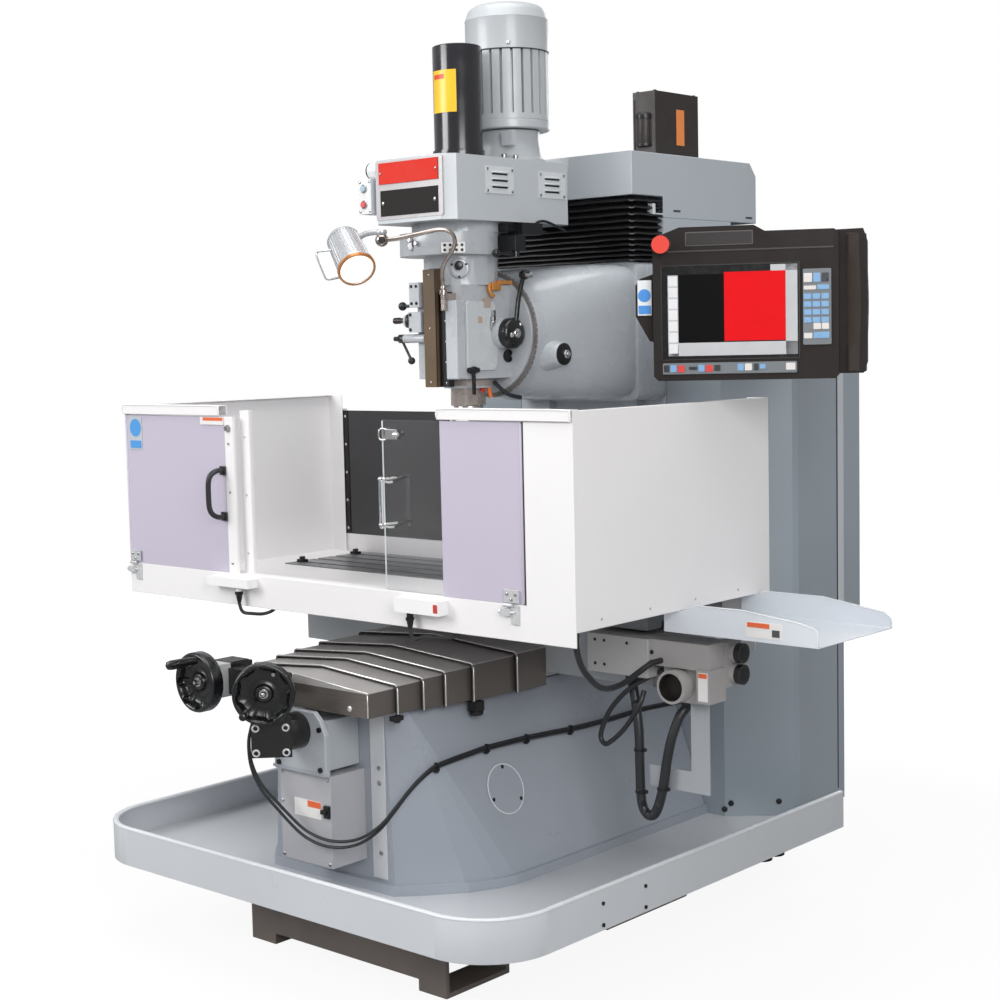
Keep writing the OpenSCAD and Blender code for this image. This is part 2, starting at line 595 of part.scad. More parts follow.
module scale_guard() color([0.35, 0.27, 0.18]) {
  blk(-32, 17, -150, head_y0, 1628, 1972);
  blk(17, 48, -134, head_y0, 1628, 1905);
}
pipe_run = [[55, -153, 1861], [55, -156, 1924], [58, -162, 1956], [72, -169, 1982], [103, -181, 2004], [134, -193, 2024], [150, -203, 2044],
  [153, -213, 2060], [146, -227, 2072], [131, -246, 2076], [107, -269, 2070], [73, -298, 2061], [39, -324, 2053], [10, -340, 2051]];
module lamp_pipe() color("silver") {
  cord(pipe_run, 6);
  blk(48.5, 62, -153, head_y0, 1848, 1925);
  rod_z(2037, 2065, 0, -345, 13);
}
module bellows() color([0.1, 0.1, 0.1]) difference() {
  for (k = [0 : 9]) {
    z = ram_z1 + 0.3 + (cover_z0 - ram_z1 - 0.6) * k / 10;
    h = (cover_z0 - ram_z1 - 0.6) / 10;
    blk(-col_w / 2 + 2, col_w / 2 - 2, ram_front + 2, col_front - 4, z, z + h / 2);
    blk(-col_w / 2 + 12, col_w / 2 - 12, ram_front + 12, col_front - 4, z + h / 2, z + h);
  }
  both() blk(148, 212, col_front - 37, col_front, ram_z1, cover_z0);
}

module quill() color([0.7, 0.7, 0.72]) difference() {
  rod_z(nose_z + 14, 1830, 0, 0, quill_r);
  rod_z(nose_z + 13, 1831, 0, 0, spindle_r + fit);
}
module spindle() color([0.6, 0.6, 0.62]) difference() {
  union() {
    rod_z(nose_z, nose_z + 13.7, 0, 0, 44);
    rod_z(nose_z + 13, 1850, 0, 0, spindle_r);
  }
  translate([0, 0, nose_z - 0.01]) cylinder(h = 68, r1 = 22.2, r2 = 12.5);
  rod_z(nose_z + 60, 1851, 0, 0, 9);
}
module quill_lever() color("black") {
  rod_x(head_x + 5, hub_x + 1, hub_y, hub_z, 15);
  rod_x(hub_x + 0.3, 164, hub_y, hub_z, 46);
  hull() { rod_x(150, 163, hub_y + 6, hub_z + 20, 12, $fn = 24); rod_x(150, 163, 82, 1950, 8, $fn = 24); }
  rod_x(150, 192, 82, 1952, 12);
}
module speed_lever() color("black") {
  rod_z(2004, 2021.7, 162, 45, 11);
  rod_y(-36, 45, 162, 2013, 5);
  translate([162, -43, 2013]) sphere(12);
}
module lock_lever() color("black") {
  rod_x(head_x + 0.3, head_x + 16, -88, 1676, 11);
  translate([head_x + 10, -88, 1604]) cylinder(h = 72, r = 6);
  rod_y(-108, -68, head_x + 10, 1676, 8);
}
module stop_lever() color([0.3, 0.3, 0.32]) {
  rod_x(-160, -138.3, -122, 1772, 13);
  rod_x(-182, -160, -122, 1772, 7);
  translate([-155, -122, 1772]) rotate([0, 148, 0]) cylinder(h = 78, r = 4);
  translate([-114, -122, 1706]) sphere(11);
}
module lamp() color("silver") {
  rod_z(2065.3, 2080, 0, -345, 12);
  hull() { rod_z(2066, 2078, 0, -345, 9, $fn = 24); rod_z(2066, 2078, -75, -380, 9, $fn = 24); }
  translate([-11, -435, 1967]) rotate([0, 52.3, 154.9]) difference() {
    cylinder(h = 150, r1 = 54, r2 = 47);
    translate([0, 0, -1]) cylinder(h = 30, r = 49);
  }
}

module wheel(t) difference() {
  rotate_extrude($fn = 72) {
    translate([shaft_r + fit, 0]) square([16, t - 14]);
    translate([20, 0]) square([wheel_r - 30, 9]);
    translate([wheel_r - 16, 0]) square([16, t]);
  }
  for (a = [0 : 45 : 359]) rotate([0, 0, a]) translate([wheel_r - 15, 0, 12]) cylinder(h = t, r = 8);
}
module wheel_front() color([0.1, 0.1, 0.1]) front_unit() {
  translate([0, -wheel_gap, wheel_z]) rotate([90, 0, 0]) wheel(wheel_t);
  rod_y(-105, -wheel_gap - 5, -50, wheel_z - 45, 11);
}
module wheel_left() color([0.1, 0.1, 0.1]) {
  translate([left_x, left_y - wheel_gap, wheel_z]) rotate([90, 0, 0]) wheel(wheel_t);
  rod_y(grip_y - 92, left_y - wheel_gap - 5, left_x + grip_x, wheel_z + grip_z, 5);
}
module handle_left() color([0.1, 0.1, 0.1]) difference() {
  rod_y(grip_y - 100, grip_y, left_x + grip_x, wheel_z + grip_z, 13);
  rod_y(grip_y - 93, grip_y + 1, left_x + grip_x, wheel_z + grip_z, 5 + fit);
}
grip_y = left_y - wheel_gap - wheel_t - 0.3;

// Pendant: everything is drawn facing -Y about the face centre, then turned
pend_c = [1024, -51, 1835];
module pendant_place() translate(pend_c) rotate([0, 0, pendant_turn]) children();
function arm_end() = [pend_c[0] - sin(pendant_turn) * (pendant_d + 45), pend_c[1] + cos(pendant_turn) * (pendant_d + 45)];
module pendant_arm() color([0.2, 0.2, 0.2]) {
  e = arm_end();
  d = norm([e[0] - arm_a[0], e[1] - arm_a[1]]);
  translate([arm_a[0], arm_a[1], arm_z]) rotate([0, 0, atan2(e[1] - arm_a[1], e[0] - arm_a[0])]) difference() {
    union() {
      blk(20, d - 20, -25, 25, 0, 60);
      cylinder(h = 60, r = 32);
      translate([d, 0, 0]) cylinder(h = 60, r = 32);
    }
    for (x = [0, d]) translate([x, 0, -1]) cylinder(h = 62, r = pin_r + fit);
  }
}
module pendant() color([0.2, 0.17, 0.15]) pendant_place() {
  w = pendant_w / 2;
  h = pendant_h / 2;
  difference() {
    union() {
      plate_xz([[-w, -h + 12], [-w + 12, -h], [w - 10, -h], [w, -h + 10], [w, h - 8], [w - 12, h], [-w + 290, h],
        [-w + 262, h + 16], [-w + 70, h + 16], [-w, h - 10]], 0, 30);
      plate_xz([[-w + 14, -h + 12], [w + 60, -h + 12], [w + 70, -h + 40], [w + 70, h - 30], [w + 60, h], [-w + 14, h - 12]],
        30, pendant_d);
      plate_xz([[-w + 16, -95], [-w - 16, -85], [-w - 52, -20], [-w - 52, 60], [-w - 40, 78], [-w + 16, 96]], 40, 52);
      rod_y(-14, 1, -w + 26, h - 28, 19);
    }
    rod_y(-15, -0.5, -w + 26, h - 28, 14 + fit);
    blk(-w + 26, -w + 373, -1, 6, -h + 57, -h + 290);
  }
  blk(-w + 383, -w + 456, -2, 0, -104, 90);
  blk(-w + 22, -w + 367, -2, 0, -h + 15, -h + 48);
  z = arm_z - pend_c[2];
  translate([0, pendant_d + 45, z - 62]) cylinder(h = 61.7, r = 30);
  translate([0, pendant_d + 45, z - 1]) cylinder(h = 59, r = pin_r);
  blk(-28, 28, pendant_d - 1, pendant_d + 45, z - 62, z - 0.3);
}
module estop() color("red") pendant_place() {
  rod_y(-23, -7, -pendant_w / 2 + 26, pendant_h / 2 - 28, 14);
  rod_y(-38, -22, -pendant_w / 2 + 26, pendant_h / 2 - 28, 23);
}
module button(z, c) color(c) rod_y(-233, -221, -belt_w / 2 - 30, z, 9);
module start_button() button(button_z[1], "green");
module stop_button() button(button_z[0], "red");

plinth();
level_feet();
chip_pan();
base_casting();
column_casting();
cabinets();
top_cover();
z_motor();
way_cover_front();
front_box();
drive_bracket();
handwheel_mount();
fasteners();
base_cable();
saddle();
junction_box();
x_drive();
cable_bracket();
splash_frame();
splash_windows();
saddle_conduit();
way_cover_rear();
way_cover_2();
way_cover_3();
way_cover_4();
way_cover_5();
table();
guard();
chip_chute();
interlocks();
table_cable();
left_door();
left_door_handle();
right_door();
clear_door();
clear_door_handle();
ram();
head_casting();
belt_housing();
head_motor();
drawbar_cover();
head_plates();
scale_guard();
lamp_pipe();
bellows();
quill();
spindle();
quill_lever();
speed_lever();
lock_lever();
stop_lever();
lamp();
wheel_front();
wheel_left();
handle_left();
pendant_arm();
pendant();
estop();
start_button();
stop_button();
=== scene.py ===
import bpy, bmesh, math
from mathutils import Matrix, Vector


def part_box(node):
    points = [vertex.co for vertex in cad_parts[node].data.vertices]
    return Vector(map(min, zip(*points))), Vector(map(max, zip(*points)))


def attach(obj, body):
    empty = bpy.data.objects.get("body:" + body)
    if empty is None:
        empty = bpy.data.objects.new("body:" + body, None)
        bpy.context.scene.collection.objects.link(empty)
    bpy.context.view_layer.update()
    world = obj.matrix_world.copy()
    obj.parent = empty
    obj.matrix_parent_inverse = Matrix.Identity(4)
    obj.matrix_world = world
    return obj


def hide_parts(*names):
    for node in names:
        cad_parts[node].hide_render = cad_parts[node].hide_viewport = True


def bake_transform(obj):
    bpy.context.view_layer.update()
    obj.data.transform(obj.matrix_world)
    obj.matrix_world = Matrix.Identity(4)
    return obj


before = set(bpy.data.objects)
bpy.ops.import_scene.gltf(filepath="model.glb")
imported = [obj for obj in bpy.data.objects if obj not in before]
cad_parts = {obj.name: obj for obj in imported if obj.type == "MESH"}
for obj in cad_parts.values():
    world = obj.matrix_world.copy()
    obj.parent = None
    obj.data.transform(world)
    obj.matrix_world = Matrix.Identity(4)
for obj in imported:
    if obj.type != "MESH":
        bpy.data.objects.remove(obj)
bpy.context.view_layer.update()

# ---- Camera, lights and floor
# The camera stands at head height off the machine's front right corner. Large soft
# lamps light it from the front left, the right, above and behind, over a pale floor.
yaw, pitch, roll = (math.radians(a) for a in (41.76, 5.23, -1.28))
ahead = Vector((-math.sin(yaw) * math.cos(pitch), math.cos(yaw) * math.cos(pitch), -math.sin(pitch)))
level = Vector((math.cos(yaw), math.sin(yaw), 0))
above = level.cross(ahead)
side = level * math.cos(roll) + above * math.sin(roll)
above = above * math.cos(roll) - level * math.sin(roll)
eye = bpy.data.cameras.new("camera")
eye.lens, eye.sensor_width, eye.clip_end = 62.3, 36, 60
camera = bpy.data.objects.new("camera", eye)
stand = Matrix.Translation((3.5309, -3.8222, 1.7574))
camera.matrix_world = stand @ Matrix((side, above, -ahead)).transposed().to_4x4()
bpy.context.scene.collection.objects.link(camera)
bpy.context.scene.camera = camera
bpy.context.scene.view_settings.view_transform = "Standard"


def soft_lamp(name, place, aim, size, watts):
    lamp = bpy.data.lights.new(name, "AREA")
    lamp.size, lamp.energy = size, watts
    o = bpy.data.objects.new(name, lamp)
    o.location = place
    o.rotation_euler = (Vector(aim) - Vector(place)).to_track_quat("-Z", "Y").to_euler()
    bpy.context.scene.collection.objects.link(o)


soft_lamp("lamp_front_left", (-2.6, -4.6, 3.6), (0, 0, 1.1), 2.6, 172)
soft_lamp("lamp_right", (4.2, -3.0, 2.9), (0, 0, 1.2), 2.2, 122)
soft_lamp("lamp_above", (0.4, -0.8, 5.4), (0.2, 0, 1), 3.4, 128)
soft_lamp("lamp_behind", (-1.5, 5.2, 3.4), (0, 0.5, 1.3), 2.6, 60)


def add_node(tree, kind, *feeds, **settings):
    """A shader node: feeds are (input, what goes in), a socket to link or a value to set."""
    node = tree.nodes.new("ShaderNode" + kind)
    for key, value in settings.items():
        setattr(node, key, value)
    connect(tree, node, *feeds)
    return node


def connect(tree, node, *feeds):
    for key, value in feeds:
        if isinstance(value, bpy.types.NodeSocket):
            tree.links.new(value, node.inputs[key])
        else:
            node.inputs[key].default_value = value


def looked_at(tree):
    """1 where the camera sees the surface, directly or through glass, and 0 elsewhere."""
    path = add_node(tree, "LightPath").outputs
    return add_node(tree, "Math", (0, path["Is Camera Ray"]), (1, path["Is Transmission Ray"]), operation="ADD",
        use_clamp=True).outputs[0]


def blank_material(name):
    made = bpy.data.materials.new(name)
    made.use_nodes = True
    return made, made.node_tree, made.node_tree.nodes["Principled BSDF"]


room = bpy.data.worlds.new("studio")
bpy.context.scene.world = room
room.use_nodes = True
tree = room.node_tree
sky = tree.nodes["Background"]
connect(tree, sky, ("Color", (0.97, 0.98, 1, 1)), ("Strength", 0.4))
white = add_node(tree, "Background", ("Color", (1, 1, 1, 1)))
choose = add_node(tree, "MixShader", (0, looked_at(tree)), (1, sky.outputs[0]), (2, white.outputs[0]))
connect(tree, tree.nodes["World Output"], (0, choose.outputs[0]))

floor_paint, tree, matt = blank_material("studio_floor")
connect(tree, matt, ("Base Color", (0.35, 0.35, 0.35, 1)), ("Roughness", 0.9))
glow = add_node(tree, "Emission", ("Strength", 1.15))
reach = add_node(tree, "VectorMath", (0, add_node(tree, "TexCoord").outputs["Object"]), operation="LENGTH")
outward = add_node(tree, "MapRange", (0, reach.outputs["Value"]), ("From Min", 2.2), ("From Max", 5),
    ("To Min", 0.8), ("To Max", 1))
share = add_node(tree, "Math", (0, looked_at(tree)), (1, outward.outputs[0]), operation="MULTIPLY")
choose = add_node(tree, "MixShader", (0, share.outputs[0]), (1, matt.outputs[0]), (2, glow.outputs[0]))
connect(tree, tree.nodes["Material Output"], (0, choose.outputs[0]))
bm = bmesh.new()
bmesh.ops.create_grid(bm, x_segments=2, y_segments=2, size=9)
floor_mesh = bpy.data.meshes.new("studio_floor")
bm.to_mesh(floor_mesh)
floor = bpy.data.objects.new("studio_floor", floor_mesh)
floor.data.materials.append(floor_paint)
bpy.context.scene.collection.objects.link(floor)


# ---- Cords
# Black rubber cords: a twin lead from the handwheels along the bed, a ribbed hose to
# the saddle, and a lead to the guard that bends as the table travels.
FRONT, BACK, LEFT, RIGHT, UP, DOWN = (0, -1, 0), (0, 1, 0), (-1, 0, 0), (1, 0, 0), (0, 0, 1), (0, 0, -1)


def tint(hexa):
    """A hex colour as linear red, green, blue."""
    v = [int(hexa[i:i + 2], 16) / 255 for i in (0, 2, 4)]
    return tuple(c / 12.92 if c < 0.04045 else ((c + 0.055) / 1.055) ** 2.4 for c in v)


def finish(name, colour, rough=0.45, metal=0.0, drift=0.05, patch=2.5, grain=0.05, grain_mm=3.0, coat=0.0,
        brushed=None, specular=0.5, zones=(), worn=0.0):
    """A surface whose colour and gloss drift over it, with a fine grain or brushing lines.
    zones are [axis, low, high, colour, rough, metal] in mm: parts of one casting in another finish, or bands of
    painted light."""
    m, t, s = blank_material(name)
    connect(t, s, ("Coat Weight", coat), ("Coat Roughness", 0.12), ("Specular IOR Level", specular))
    where = add_node(t, "TexCoord").outputs["Object"]

    def noise(scale, detail=3.0, stretch=None):
        at = add_node(t, "Mapping", (0, where), ("Scale", stretch)).outputs[0] if stretch else where
        return add_node(t, "TexNoise", ("Scale", scale), ("Detail", detail), ("Vector", at)).outputs["Fac"]

    def to_range(value, low, high):
        return add_node(t, "MapRange", (0, value), ("From Min", 0.3), ("From Max", 0.7), ("To Min", low),
            ("To Max", high)).outputs[0]

    def blend(value, a, b):
        a, b = ((*c, 1) if isinstance(c, tuple) else c for c in (a, b))
        return add_node(t, "Mix", (0, value), (6, a), (7, b), data_type="RGBA").outputs[2]

    def drifting(c):
        low, high = (tuple(min(1, v * k) for v in c) for k in (1 - drift, 1 + drift))
        return blend(to_range(noise(patch), 0, 1), low, high)

    c = tint(colour)
    col = drifting(c)
    worn_tone, line_tone = 0.55, 0.72
    if worn:
        col = blend(to_range(noise(14, 6), -3.2, worn), col, tuple(v * worn_tone for v in c))
    gloss = to_range(noise(patch * 3.1, 4), max(0.03, rough - 0.07), rough + 0.07)
    if brushed:
        lines = noise(1.0, 2, brushed)
        col = blend(to_range(lines, 0, 0.5), col, tuple(v * line_tone for v in c))
        gloss = to_range(lines, max(0.03, rough - 0.1), rough + 0.14)
    if zones:
        xyz = add_node(t, "SeparateXYZ", (0, where)).outputs
        plain = add_node(t, "Value")
        plain.outputs[0].default_value = metal
        metal = plain.outputs[0]
    for axis, low, high, zone_colour, zone_rough, zone_metal in zones:
        inside = add_node(t, "Math", (0, xyz[axis]), (1, (low + high) / 2000), (2, (high - low) / 2000),
            operation="COMPARE").outputs[0]
        col = blend(inside, col, drifting(tint(zone_colour)))
        gloss = add_node(t, "Mix", (0, inside), (2, gloss), (3, zone_rough)).outputs[0]
        metal = add_node(t, "Mix", (0, inside), (2, metal), (3, zone_metal)).outputs[0]
    bump = add_node(t, "Bump", ("Strength", grain), ("Distance", 0.002),
        ("Height", lines if brushed else noise(1000 / grain_mm, 2)))
    connect(t, s, ("Base Color", col), ("Roughness", gloss), ("Metallic", metal), ("Normal", bump.outputs[0]))
    return m


def spoke(degrees, r=1):
    """The point at this angle on a circle of radius r."""
    return r * math.cos(math.radians(degrees)), r * math.sin(math.radians(degrees))


def across_from(line):
    """A direction square to a line."""
    return line.cross(Vector(UP if abs(line.z) < 0.9 else BACK))


class Stock:
    """One piece made up of blocks, turned parts and swept bars, in mm from the place given."""

    def __init__(self, place=None):
        self.bm = bmesh.new()
        self.place = place or Matrix.Identity(4)

    def corner(self, p):
        return self.bm.verts.new(self.place @ (Vector(p) / 1000))

    def loft(self, rings, caps=True):
        """A skin over rings of corners, closed at both ends unless caps is False."""
        made = [[self.corner(p) for p in ring] for ring in rings]
        for a, b in zip(made, made[1:]):
            for i in range(len(a)):
                j = (i + 1) % len(a)
                self.bm.faces.new((a[i], a[j], b[j], b[i]))
        if caps:
            self.bm.faces.new(made[0][::-1])
            self.bm.faces.new(made[-1])
        return self

    def block(self, x0, x1, y0, y1, z0, z1):
        return self.loft([[(x0, y0, z), (x1, y0, z), (x1, y1, z), (x0, y1, z)] for z in (z0, z1)])

    def turned(self, start, along, profile, n=32, caps=True):
        """profile is [distance along, radius], turned round the line from start."""
        a = Vector(along).normalized()
        u = across_from(a).normalized()
        v = a.cross(u)
        around = [spoke(360 * k / n) for k in range(n)]
        rings = [[Vector(start) + a * h + (u * c + v * s) * r for c, s in around] for h, r in profile]
        return self.loft(rings, caps)

    def rod(self, p, q, r, n=24):
        line = Vector(q) - Vector(p)
        length = line.length
        e = min(r * 0.2, length * 0.25)
        return self.turned(p, line, [(0, r - e), (e, r), (length - e, r), (length, r - e)], n)

    def nut(self, p, along, r, h):
        return self.turned(p, along, [(0, r), (h * 0.8, r), (h, r * 0.86)], 6)

    def screw(self, p, along, r, h=None):
        h = h or r * 0.8
        return self.turned(p, along, [(0, r), (h * 0.55, r), (h * 0.9, r * 0.7), (h, r * 0.35)], 16)

    def screws(self, spots, along, r, h=None):
        for p in spots:
            self.screw(p, along, r, h)
        return self

    def ball(self, c, r):
        profile = [(r - x, max(0.001, y)) for x, y in (spoke(15 * k, r) for k in range(13))]
        return self.turned(Vector(c) - Vector((0, 0, r)), UP, profile, 20)

    def sweep(self, points, r, n=12, across=None, flat=1.0, ribs=0):
        """A round or flat bar swept through points; ribs make it a corrugated hose."""
        p = [Vector(q) for q in points]
        rings, u, around = [], None, [spoke(360 * j / n) for j in range(n)]
        for i, q in enumerate(p):
            d = (p[min(i + 1, len(p) - 1)] - p[max(i - 1, 0)]).normalized()
            if u is None:
                u = Vector(across) if across else across_from(d)
            u = (u - d * u.dot(d)).normalized()
            v = d.cross(u)
            k = r * (1 if not ribs or i % 2 else 1 - ribs)
            rings.append([q + (u * c + v * s * flat) * k for c, s in around])
        return self.loft(rings)

    def done(self, name, material, body, edge=0.0, smooth=35, stands_for=(), ends=None, slot=None, weld=False):
        """Make the piece: it rides with a body, or, when ends are given, stays where it is made with no body.
        """
        if weld:
            bmesh.ops.remove_doubles(self.bm, verts=self.bm.verts, dist=1e-5)
        bmesh.ops.recalc_face_normals(self.bm, faces=self.bm.faces)
        mesh = bpy.data.meshes.new(name)
        self.bm.to_mesh(mesh)
        self.bm.free()
        mesh.shade_smooth()
        mesh.set_sharp_from_angle(angle=math.radians(smooth))
        o = bpy.data.objects.new(name, mesh)
        bpy.context.scene.collection.objects.link(o)
        mesh.materials.append(material)
        if edge:
            break_edges(o, edge, 2, 35)
        if ends:
            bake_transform(o)
        else:
            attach(o, body)
        if stands_for:
            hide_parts(*stands_for)
        return o


def plate(name, box, material, body, edge=0.0, slot="plates"):
    """One block as a piece of its own; box is x0, x1, y0, y1, z0, z1 in mm."""
    return Stock().block(*box).done(name, material, body, edge=edge, slot=slot)


def break_edges(o, edge, steps, angle):
    """Bevel by edge mm where faces meet at more than this angle."""
    b = o.modifiers.new("broken_edge", "BEVEL")
    b.width, b.segments, b.limit_method, b.angle_limit = edge / 1000, steps, "ANGLE", math.radians(angle)
    b.harden_normals = True


def mirrored(points):
    """Points in reverse order, on the other side of the machine's middle."""
    return [(-x, y, z) for x, y, z in reversed(points)]


def drawn(points, step):
    """The smooth line a bent cord or pipe takes through its points."""
    p = [Vector(q) for q in points]
    p = [p[0] * 2 - p[1]] + p + [p[-1] * 2 - p[-2]]
    out = []
    for a, b, c, d in zip(p, p[1:], p[2:], p[3:]):
        n = max(2, round((c - b).length / step))
        for t in (k / n for k in range(n)):
            out.append((b * 2 + (c - a) * t + (a * 2 - b * 5 + c * 4 - d) * t * t
                + (b * 3 - a - c * 3 + d) * t ** 3) / 2)
    return out + [p[-2]]


rubber = finish("cord_rubber", "232427", 0.42, drift=0.12, patch=20, grain=0.12, grain_mm=1.5)
base_run = [(-100, -790, 769.7), (-100, -790, 745), (-98, -812, 690), (-92, -812, 620), (-66, -800, 557),
    (-15, -785, 506), (46, -765, 451), (95, -757, 431), (145, -748, 424), (196, -733, 428), (236, -708, 443),
    (266, -672, 474), (286, -636, 517), (303, -600, 560), (315, -562, 592), (320, -520, 611), (325, -460, 620),
    (329, -380, 626), (330, -315, 629), (332, -147, 626), (334, 49, 616), (336, 184, 613), (338, 300, 614),
    (345, 380, 618), (375, 450, 624), (430, 520, 636), (450, 555, 640), (450, 590, 640)]
# The two strands touch, but part between the points loose and tight of the run.
lead = Stock()
strand, beside = 4.3, Vector((0.25, 0.1, 1)).normalized()
loose, tight = 12, 74
for s in (-1, 1):
    line = []
    for i, q in enumerate(drawn(base_run, 10)):
        apart = 4.5 * math.sin(math.pi * (i - loose) / (tight - loose)) if loose < i < tight else 0
        line.append(q + beside * s * (strand + 0.1 + apart))
    lead.sweep(line, strand, 10)
lead.done("twin_lead", rubber, "machine", stands_for=["base_cable"], slot="cable")
ties = Stock()
for x, y, z in [(321, -509, 613), (330, -315, 629), (332, -147, 626), (334, 49, 616)]:
    ties.block(x - 7, x + 10, y - 3, y + 3, z - 11, z + 11)
    ties.block(x - 10, x + 4, y - 5, y + 5, z - 17, z - 10)
ties.done("lead_clips", finish("clip_nylon", "1b1c1e", 0.5, drift=0.1, patch=30), "machine", edge=1.5)

conduit_run = [(676, -95, 848), (676, -95, 815), (690, -102, 772), (708, -112, 690), (713, -117, 600),
    (716, -118, 522), (724, -120, 484), (742, -121, 464), (764, -122, 470), (780, -122, 500), (795, -122, 550),
    (808, -122, 620), (822, -118, 686), (836, -100, 744), (845, -80, 768), (846, -76, 780), (846, -76, 789.7)]
hose = Stock().sweep(drawn(conduit_run, 3.2), 14, 16, ribs=0.12)
for end, nut_end in ((conduit_run[0], 22), (conduit_run[-1], 12)):
    hose.turned(end, DOWN, [(0, 20), (nut_end, 20), (nut_end + 4, 16), (nut_end + 8, 16)], 24)
hose.done("ribbed_hose", rubber, "saddle", smooth=60, stands_for=["saddle_conduit"], slot="cable")

table_run = [(860, -560, 1045.7), (860, -560, 1000), (856, -536, 950), (842, -484, 908), (818, -420, 876),
    (796, -350, 858), (786, -280, 858), (788, -220, 876), (800, -180, 896), (806, -158, 900), (806, -139, 900)]
Stock().sweep(drawn(table_run, 6), 8, 12).done("guard_lead", rubber, None, stands_for=["table_cable"],
    slot="cable", ends=("saddle", "table", (0.82, -0.2, 0.95), (0.86, -0.56, 0.95)))


# ---- Plinth and levelling feet
# A welded steel plinth in dark paint, with a slot under its front beam for a fork and
# two levelling feet at the back. The machine's bed is bolted down on it.
def dress(node, material, edge=1.0, steps=2):
    """A CAD piece in its real finish, with its edges broken by edge mm."""
    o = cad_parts[node]
    for s in o.material_slots:
        s.material = material
    if edge:
        w = o.modifiers.new("joined_faces", "WELD")
        w.merge_threshold = 0.00002
        break_edges(o, edge, steps, 34)


dress("plinth", finish("plinth_paint", "847b75", 0.62, drift=0.14, patch=5, grain=0.14, grain_mm=5,
    worn=0.3), 3)
dress("level_feet", finish("foot_iron", "232323", 0.5, 0.3, drift=0.15, patch=20, grain=0.1), 1)

# ---- Chip pan
# A sheet steel pan under the whole bed, painted light grey, with a rolled rim and welded
# corners. It catches the coolant and is bolted to the plinth.
pan_grey = finish("pan_paint", "c9ccd0", 0.36, drift=0.035, patch=1.6, grain=0.03, grain_mm=6,
    coat=0.25, worn=0.08)
dress("chip_pan", pan_grey, 2.5, 3)
low, high = (v * 1000 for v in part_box("chip_pan"))
inset, corner = 8, 191
rim = [(high.x - inset, high.y - 4, high.z - 3)]
for x, y in (spoke(-90 * k / 24, corner) for k in range(25)):
    rim.append((high.x - inset - corner + x, low.y + inset + corner + y, high.z - 3))
# The rim is painted lighter than the pan: a painted highlight along its rolled edge.
Stock().sweep(rim + mirrored(rim), 9, 16, across=RIGHT, flat=0.55).done(
    "rolled_rim", finish("rim_paint_highlight", "dcdfe2", 0.28, drift=0.03, coat=0.3, grain=0.02), "machine", smooth=60,
    slot="frame_paint")

# ---- Bed casting
# The cast iron bed, painted light grey, flares to a wide foot and carries two ground
# ways. A round hatch closes the coolant tank; two clamps hold the pan to the foot.
casting_grey = finish("casting_paint", "9fa5ae", 0.33, drift=0.04, patch=2.2, grain_mm=14, coat=0.35)
dress("base_casting", casting_grey, 5, 3)
steel = finish("bright_steel", "b9b9ba", 0.24, 1.0, drift=0.08, patch=30, grain=0.03)
black_iron = finish("black_screws", "17181a", 0.38, 0.2, drift=0.15, patch=40)
tilt = Matrix.Translation((0.353, -0.268, 0.506)) @ Matrix.Rotation(math.radians(70.6), 4, "Y")
ring = Stock(tilt)
ring.turned((0, 0, 2.6), UP, [(0, 72.2), (1.1, 71.8), (1.5, 70.2), (1.1, 68.9), (0, 68.5)], 96, caps=False)
ring.done("hatch_ring", finish("hatch_lip", "e4e7ea", 0.3, drift=0.03, coat=0.3, grain=0.02), "machine",
    smooth=60, slot="frame_paint")
Stock(tilt).screws([(*spoke(a, 62), 2.8) for a in (172, 52, -72)], UP, 5.5, 3).done(
    "hatch_screws", black_iron, "machine")
bed_front, box_front = -600, -729
front_screws = Stock()
for x, y in ((194, bed_front - 2.5), (-150, bed_front)):
    front_screws.screws([(x, y, z) for z in (373, 567, 609)], FRONT, 7, 4)
box_holes = [(-61, 590), (-61, 506), (-61, 356), (124, 590), (124, 356)]
front_screws.screws([(x, box_front, z) for x, z in box_holes], FRONT, 5, 3)
front_screws.done("front_screws", steel, "machine")
plate("front_cover_plate", (160, 215, bed_front - 3, bed_front, 300, 755),
    finish("front_plate_paint", "d3d5d8", 0.35, drift=0.03, coat=0.3), "machine", edge=1, slot="frame_paint")

# ---- Column, cabinets and top cover
# The cast column stands behind the bed with a sheet steel cabinet on each side and a
# sheet cover on top. The cabinets' rear strips are separate and leave a dark seam.
column_grey = finish("column_paint", "b2b8be", 0.36, patch=1.4, grain_mm=12, coat=0.25)
# The cabinets' grey is a darker copy of the machine's light grey: painted shade on their sides, also used on
# the rear doors.
shaded_cabinet_grey = finish("cabinet_paint_shaded", "959ea6", 0.34, drift=0.07, patch=1.1, grain=0.03, grain_mm=8, coat=0.3)
dress("column_casting", column_grey, 3)
dress("cabinets", shaded_cabinet_grey, 3, 3)
dress("top_cover", finish("top_cover_paint", "b4babf", 0.36, drift=0.04, patch=1.4, grain=0.03,
    coat=0.25), 7, 3)
cabinet_side, rear_box_back = 683, 1116
seams, strip = Stock(), Stock()
for s in (-1, 1):
    seams.block(*sorted((s * (cabinet_side - 0.4), s * (cabinet_side + 0.7))), 972, 978, 300, 2056)
    strip.block(*sorted((s * cabinet_side, s * (cabinet_side + 2.5))), 979, 1013, 772, 2054)
for y, z in [(661, 2153), (1066, 2147)]:
    seams.block(300, 301.2, y - 18, y + 18, z - 3, z + 3)
seams.done("cabinet_seams", finish("seam_shadow", "3a3d44", 0.7, drift=0.1), "machine")
strip.done("cabinet_rear_strips", finish("strip_paint", "c4c9cd", 0.36, drift=0.03, coat=0.2), "machine",
    edge=1, slot="frame_paint")
bolts = Stock()
